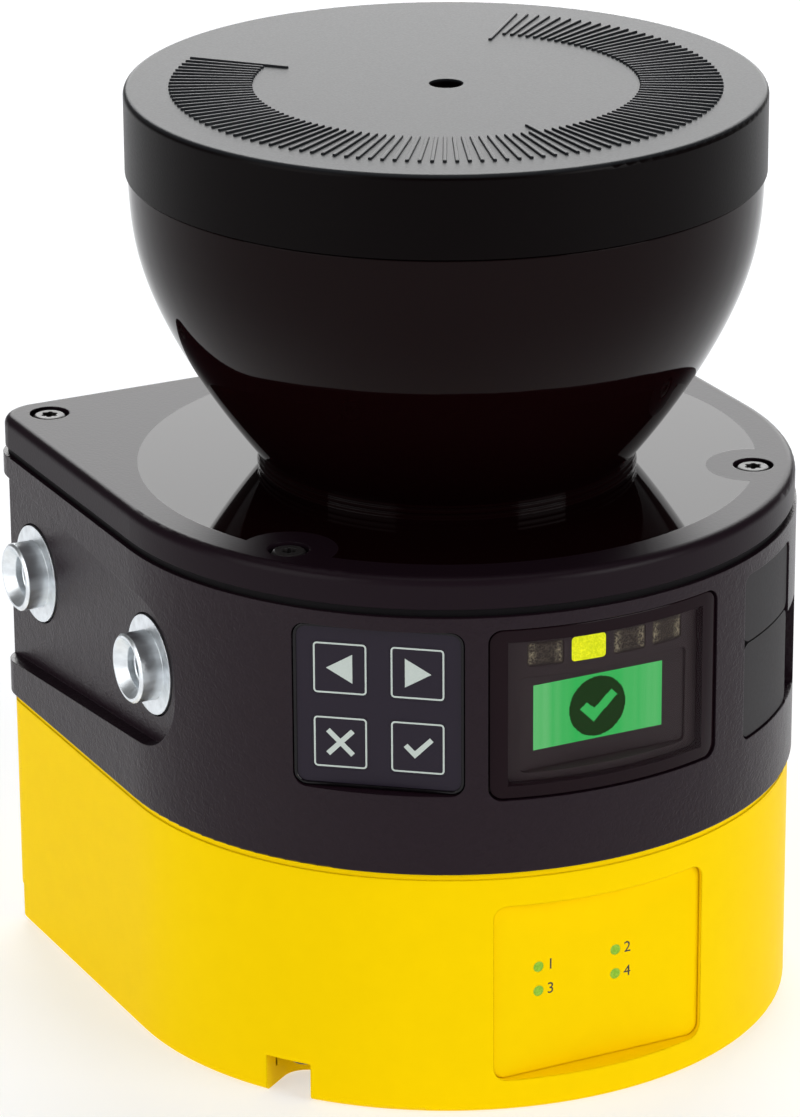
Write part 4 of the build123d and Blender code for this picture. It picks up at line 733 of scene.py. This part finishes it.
unlit_light, shader = new_finish("unlit_light", roughness=0.4, metallic=0.2)
place = place_on_object(unlit_light)
folded = sums(unlit_light, "FLOORED_MODULO", angle_from_front(unlit_light, place), light_pitch)
off_middle = away_from(unlit_light, folded, light_pitch / 2)
off_level = away_from(unlit_light, along(unlit_light, place, "Z"), light_level)
bent_up_glint = step_over(unlit_light, off_middle, bend_starts, softness=0.75)
side_rim = step_over(unlit_light, off_middle, rim_starts, softness=0.25)
level_rim = step_over(unlit_light, off_level, level_rim_starts, softness=0.25 * MM)
inside_rim = rest_of(unlit_light, sums(unlit_light, "MAXIMUM", side_rim, level_rim))
glints = sums(unlit_light, "MULTIPLY", crumpled_foil(unlit_light), inside_rim)
painted_glint_share = sums(unlit_light, "MULTIPLY", glints, between(unlit_light, bent_up_glint, 0.12, 0.9))
# The bright foil colour is painted glints.
vary_color(unlit_light, shader, painted_glint_share, (0.05, 0.038, 0.034), (0.75, 0.66, 0.44))
# A faint painted glow: the unlit light is given emission though it is off.
put(unlit_light, shader.inputs["Emission Color"],
    blend_colors(unlit_light, painted_glint_share, (0.02, 0.014, 0.01), (1.0, 0.88, 0.6)))
shader.inputs["Emission Strength"].default_value = 0.35
emboss(unlit_light, shader, glints, depth=0.2 * MM, strength=0.6)
dress(["status_light_1", "status_light_3", "status_light_4"], unlit_light)

# %% Lights that are on
def shining_light(name, dull, bright, strength):
    """A light that shines through crumpled foil."""
    material, shader = new_finish(name, shine=0.1)
    glints = sums(material, "MULTIPLY", crumpled_foil(material), 0.55)
    clouds = sums(material, "MULTIPLY", speckle(material, size=2.6 * MM, detail=1.0), 0.5)
    color = blend_colors(material, sums(material, "ADD", glints, clouds), dull, bright)
    put(material, shader.inputs["Base Color"], color)
    put(material, shader.inputs["Emission Color"], color)
    shader.inputs["Emission Strength"].default_value = strength
    return material


lit_light = shining_light("lit_light", (0.44, 0.54, 0.0), (0.96, 0.95, 0.02), strength=1.9)
green_guide = shining_light("green_guide", (0.13, 0.32, 0.012), (0.30, 0.50, 0.05),
                            strength=0.3)
dress(["status_light_2"], lit_light)
dress(["network_lights"], green_guide)

# %% [markdown]
# ## Printed signs on the keys
# Each key carries a printed frame and a sign: two arrows, a cross and a tick. The print
# is a thin, slightly raised layer of pale ink. Every sign is laid out flat on the
# workshop table in millimetres round the key's middle, given the ink's thickness, and
# then set on its key, so that it moves in when the key is pressed.

# %% Ink
ink_thickness = 0.02 * MM
pale_ink, shader = new_finish("pale_ink")
ink_grain = speckle(pale_ink, size=0.25 * MM, detail=2.0)
vary_color(pale_ink, shader, ink_grain, (0.47, 0.53, 0.49), (0.56, 0.62, 0.58))
vary_roughness(pale_ink, shader, ink_grain, 0.42, 0.58)
emboss(pale_ink, shader, ink_grain, depth=0.004 * MM, strength=0.3)
print("ink:", ink_thickness / MM, "mm thick")

# %% Flat shapes on the table
def flat_outline(corners):
    """A flat face from a few corners in millimetres."""
    shape = bmesh.new()
    shape.faces.new([shape.verts.new((x * MM, y * MM, 0)) for x, y in corners])
    return shape


def rounded_frame(width, stroke, corner):
    """A square frame with round corners, in millimetres."""
    shape = bmesh.new()
    bmesh.ops.create_grid(shape, x_segments=1, y_segments=1, size=width / 2 * MM)
    bmesh.ops.bevel(shape, geom=list(shape.verts), affect="VERTICES", offset=corner * MM,
                    offset_type="OFFSET", segments=5, profile=0.5, material=-1)
    bmesh.ops.inset_region(shape, faces=list(shape.faces), thickness=stroke * MM,
                           use_boundary=True, use_even_offset=True)
    middle = min(shape.faces, key=lambda face: face.calc_center_median().length - face.calc_area())
    bmesh.ops.delete(shape, geom=[middle], context="FACES_ONLY")
    return shape


def cross(reach, stroke):
    """Four arms drawn out of a small square, turned to stand on their tips."""
    shape = bmesh.new()
    bmesh.ops.create_grid(shape, x_segments=1, y_segments=1, size=stroke / 2 * MM)
    for edge in list(shape.edges):
        outward = (edge.verts[0].co + edge.verts[1].co).normalized()
        arm = bmesh.ops.extrude_edge_only(shape, edges=[edge])
        bmesh.ops.translate(shape, vec=outward * (reach - stroke / 2) * MM,
                            verts=new_points(arm))
    bmesh.ops.rotate(shape, matrix=Matrix.Rotation(pi / 4, 3, "Z"), verts=shape.verts)
    return shape


# %% [markdown]
# The keypad is flat and looks out to the left front. A small frame of reference says
# where "right", "up" and "out" are on it. How far out each key reaches is read from
# the solid model, so the ink lies on the key and neither floats nor sinks.

# %% Where the keys are
keypad_turn = radians(-38.4)
keypad_outward = Vector((sin(keypad_turn), -cos(keypad_turn), 0))
same_face = 0.01 * MM


def on_front(turn, distance, middle):
    """Place for a flat shape that stands on a front face and looks outward."""
    outward = Vector((sin(turn), -cos(turn), 0))
    foot = middle + outward * (distance - middle.dot(outward))
    stand_up = Matrix.Rotation(pi / 2, 4, "X")
    return Matrix.Translation(foot) @ Matrix.Rotation(turn, 4, "Z") @ stand_up


def keypad_reach(name):
    """How far out a keypad piece reaches."""
    return max(vertex.co.dot(keypad_outward) for vertex in nodes[name].data.vertices)


def key_place(name):
    """The middle of a key's outer face."""
    reach = keypad_reach(name)
    corners = [vertex.co for vertex in nodes[name].data.vertices]
    face = [corner for corner in corners if corner.dot(keypad_outward) > reach - same_face]
    return on_front(keypad_turn, reach, sum(face, Vector()) / len(face))


# %% Frames and signs
arrow_corners = [(-2.15, 0), (1.95, -2.36), (1.95, 2.36)]
tick_corners = [(-2.2, 0.0), (-1.6, 0.57), (-0.46, -0.57),
                (1.9, 1.74), (2.45, 1.16), (-0.46, -1.78)]
signs = {
    "key_previous": lambda: flat_outline(arrow_corners),
    "key_next": lambda: flat_outline([(-x, -y) for x, y in arrow_corners]),
    "key_cancel": lambda: cross(reach=2.75, stroke=0.82),
    "key_confirm": lambda: flat_outline(tick_corners),
}
for key, draw_sign in signs.items():
    printed_frame = rounded_frame(width=8.3, stroke=0.27, corner=0.62)
    for part, shape in (("sign", draw_sign()), ("frame", printed_frame)):
        raise_flat(shape, ink_thickness)
        piece = finished_piece(key + "_" + part, shape, key_place(key), pale_ink)
        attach(piece, key)
    print(key, "has its frame and sign")

# %% [markdown]
# ## Bead and webs of the keypad
# A glossy black bead runs round the foil at the edge of its recess. Its near-black colour
# is painted shade: it stands for the shaded wall of the recess. On the real keypad the foil
# also runs on over the keys, so no gap shows round them. A narrow web round each key
# closes that gap by eye. It leaves the key a hair of room to move in.

# %% Bead round the foil
glossy_bead, shader = new_finish("glossy_bead", shine=0.25)
bead_skin = speckle(glossy_bead, size=1.2 * MM, detail=2.0)
# Near-black colour of the bead: painted shade of the recess wall.
vary_color(glossy_bead, shader, bead_skin, (0.002, 0.0015, 0.002), (0.005, 0.004, 0.005))
vary_roughness(glossy_bead, shader, bead_skin, 0.08, 0.22)
emboss(glossy_bead, shader, bead_skin, depth=0.02 * MM, strength=0.4)

bead_height = 0.28 * MM
bead_rounding = 0.16 * MM
foil_reach = keypad_reach("keypad_foil")
foil_level = Vector((0, 0, middle_of("keypad_foil").z))
shape = rounded_frame(width=26.6, stroke=0.5, corner=2.05)
raise_flat(shape, bead_height)
round_sharp_edges(shape, bead_rounding, lambda point: point.z > bead_height / 2)
foil_place = on_front(keypad_turn, foil_reach, foil_level)
bead = finished_piece("keypad_bead", shape, foil_place, glossy_bead)
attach(bead, "housing")
print("foil reaches out to", round(foil_reach / MM, 2), "mm")

# %% Webs round the keys
web_depth = 0.2 * MM
for key in signs:
    middle = key_place(key).translation
    web_place = on_front(keypad_turn, foil_reach - web_depth, middle)
    shape = rounded_frame(width=8.98, stroke=0.25, corner=0.75)
    raise_flat(shape, web_depth)
    web = finished_piece(key + "_web", shape, web_place, keypad_foil)
    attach(web, "housing")
    print(key, "is", round((foil_reach - middle.dot(keypad_outward)) / MM, 3), "mm below the foil")

# %% [markdown]
# ## Picture on the display
# The display shows a dark disc with a tick in it, drawn in the panel's own dark
# picture points, so the disc's edge runs in small steps. The disc starts as a fine
# square grid. Cells outside the circle are removed, and so are those under the tick,
# which lets the lit panel shine through.

# %% Dark picture points
dark_points, shader = new_finish("dark_points", color=(0.002, 0.008, 0.002), roughness=0.4,
                                 shine=0.1)
point_rows = speckle(dark_points, size=0.4 * MM, detail=1.0)
put(dark_points, shader.inputs["Emission Color"],
    blend_colors(dark_points, point_rows, (0.006, 0.055, 0.005), (0.012, 0.075, 0.009)))
shader.inputs["Emission Strength"].default_value = 1.0

# %% Dark disc with a tick
disc_middle = Vector((-0.8, 65.0)) * MM
disc_reach = 4.9 * MM
disc_thickness = 0.03 * MM
screen_tick = [(-3.82, 64.93), (-2.67, 65.89), (-1.30, 64.72),
               (1.67, 67.40), (2.70, 66.30), (-1.43, 62.49)]
tick_outline = [Vector(corner) * MM for corner in screen_tick]


def inside(point, outline):
    """Whether a point lies inside an outline: a line from it crosses an odd number of edges."""
    crossings = 0
    for first, second in zip(outline, outline[1:] + outline[:1]):
        if (first.y > point.y) != (second.y > point.y):
            share = (point.y - first.y) / (second.y - first.y)
            crossings += point.x < first.x + share * (second.x - first.x)
    return crossings % 2 == 1


shape = bmesh.new()
cells = round(2 * disc_reach / point_pitch)
bmesh.ops.create_grid(shape, x_segments=cells, y_segments=cells, size=disc_reach)
bmesh.ops.translate(shape, vec=(disc_middle.x, disc_middle.y, 0), verts=shape.verts)
left_out = []
for face in shape.faces:
    point = face.calc_center_median().xy
    if (point - disc_middle).length > disc_reach or inside(point, tick_outline):
        left_out.append(face)
bmesh.ops.delete(shape, geom=left_out, context="FACES")
raise_flat(shape, disc_thickness)
screen_place = on_front(0, -screen_low[1], Vector())
display_disc = finished_piece("display_disc", shape, screen_place, dark_points)
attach(display_disc, "housing")
print("faces of the dark disc:", len(display_disc.data.polygons))

# %% [markdown]
# ## Numbers beside the network lights
# The four green lights on the yellow label are told apart by a small dark number each.
# Letters come from a text object. It is turned into a mesh and laid on the label, a
# little to the right of its light.

# %% Dark print
dark_ink, shader = new_finish("dark_ink")
dark_grain = speckle(dark_ink, size=0.25 * MM, detail=2.0)
vary_color(dark_ink, shader, dark_grain, (0.018, 0.015, 0.012), (0.035, 0.030, 0.02))
vary_roughness(dark_ink, shader, dark_grain, 0.42, 0.58)


def printed_number(text, height):
    """A number as a thin flat shape on the table, its middle left at the origin."""
    data = bpy.data.curves.new("number", "FONT")
    data.body, data.size, data.align_y = text, height, "CENTER"
    letters = bpy.data.objects.new("number", data)
    bpy.context.collection.objects.link(letters)
    bpy.context.view_layer.update()
    mesh = bpy.data.meshes.new_from_object(letters)
    shape = bmesh.new()
    shape.from_mesh(mesh)
    bpy.data.objects.remove(letters)
    bpy.data.meshes.remove(mesh)
    bpy.data.curves.remove(data)
    raise_flat(shape, ink_thickness)
    return shape


# %% Numbers on the label
number_height = 2.6 * MM
number_gap = 1.5 * MM
light_columns = (-10.825 * MM, 2.825 * MM)
light_rows = (22.96 * MM, 18.84 * MM)
label_face = -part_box("network_label")[0][1]
for number in range(4):
    x, z = light_columns[number % 2], light_rows[number // 2]
    place = on_front(0, label_face, Vector((x + number_gap, 0, z)))
    shape = printed_number(str(number + 1), number_height)
    piece = finished_piece(f"label_number_{number + 1}", shape, place, dark_ink)
    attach(piece, "housing")
    print(piece.name, "at", round(x / MM, 2), round(z / MM, 2))

# %% [markdown]
# ## Threads in the sockets
# Each network socket has a fine internal thread. A thread is a small ridge wound round
# the bore: one short edge, spun round the axis while it climbs, gives it. The ridge is
# a V laid on the bore's wall, and it is closed by its own flat base, which is sunk a
# little into the wall.

# %% Spun thread
socket_bore = 3.46 * MM
thread_depth = 0.22 * MM
thread_pitch = 0.5 * MM
thread_turns = 6
thread_start = 5.6 * MM
sunk_base = 0.03 * MM
steps_per_turn = 40


def thread_ridge():
    """A V-shaped ridge wound on the inside of the bore round Z, climbing by the pitch."""
    shape = bmesh.new()
    base = socket_bore + sunk_base
    half_width = 0.42 * thread_pitch
    corners = [(base, 0, -half_width), (socket_bore - thread_depth, 0, 0), (base, 0, half_width)]
    section = [shape.verts.new(corner) for corner in corners]
    face = shape.faces.new(section)
    bmesh.ops.spin(shape, geom=[face] + list(face.edges) + section, cent=(0, 0, 0),
                   axis=(0, 0, 1), dvec=(0, 0, thread_pitch / steps_per_turn),
                   angle=2 * pi * thread_turns, steps=steps_per_turn * thread_turns,
                   use_merge=False)
    return shape


lay_along_x = Matrix.Rotation(-pi / 2, 4, "Y")
for name in network_sockets:
    middle = middle_of(name)
    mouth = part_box(name)[0][0]
    place = Matrix.Translation((mouth + thread_start, middle.y, middle.z)) @ lay_along_x
    piece = finished_piece(name + "_thread", thread_ridge(), place,
                           nodes[name].data.materials[0])
    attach(piece, "housing")
    print(piece.name, "has", thread_turns, "turns")

# %% [markdown]
# ## Studio
# A product picture is taken on a pale floor under large soft lights. What a glossy
# black part shows is mostly the reflection of those lights, so they stand where their
# reflection is wanted: high behind the scanner for its flat tops, and at both sides.
# The floor is grey and glows faintly, like a light table. So it is white round the
# scanner while the lamps stay low, and it picks up little yellow from the base.

# %% Floor
floor_reach = 6.0
floor_drop = 0.2 * MM
floor_paint, shader = new_finish("floor_paint", roughness=0.8)
dust = speckle(floor_paint, size=30 * MM)
vary_color(floor_paint, shader, dust, (0.54, 0.54, 0.54), (0.56, 0.56, 0.56))
shader.inputs["Emission Color"].default_value = (0.95, 0.97, 1.0, 1)
shader.inputs["Emission Strength"].default_value = 0.54
shape = bmesh.new()
bmesh.ops.create_grid(shape, x_segments=1, y_segments=1, size=floor_reach)
floor = finished_piece("floor", shape, Matrix.Translation((0, 0, -floor_drop)), floor_paint)

# %% World and lights
world = bpy.data.worlds.new("white_room")
world.use_nodes = True
background = world.node_tree.nodes["Background"]
background.inputs["Color"].default_value = (1, 1, 1, 1)
background.inputs["Strength"].default_value = 0.14
bpy.context.scene.world = world
bpy.context.scene.view_settings.view_transform = "Standard"
scanner_middle = Vector((0, 0, (cad_low[2] + cad_high[2]) / 2))


def soft_light(name, place, size, power):
    """A square area light that faces the scanner."""
    data = bpy.data.lights.new(name, "AREA")
    data.size = size
    data.energy = power
    light = bpy.data.objects.new(name, data)
    light.location = place
    toward = scanner_middle - light.location
    light.rotation_euler = toward.to_track_quat("-Z", "Y").to_euler()
    bpy.context.collection.objects.link(light)
    print(name, power, "W")


soft_light("back_light", (1.25, 2.1, 1.1), size=2.0, power=56)
soft_light("top_light", (0.0, 0.0, 2.2), size=1.6, power=8)
soft_light("left_light", (-1.9, -0.3, 0.8), size=1.6, power=20)
soft_light("right_light", (1.2, -1.9, 0.9), size=1.3, power=29)

# %% [markdown]
# ## Sizes
# The box of the solid model, measured at the start, is printed.

# %% Sizes
print("solid model:", list(cad_low), list(cad_high))
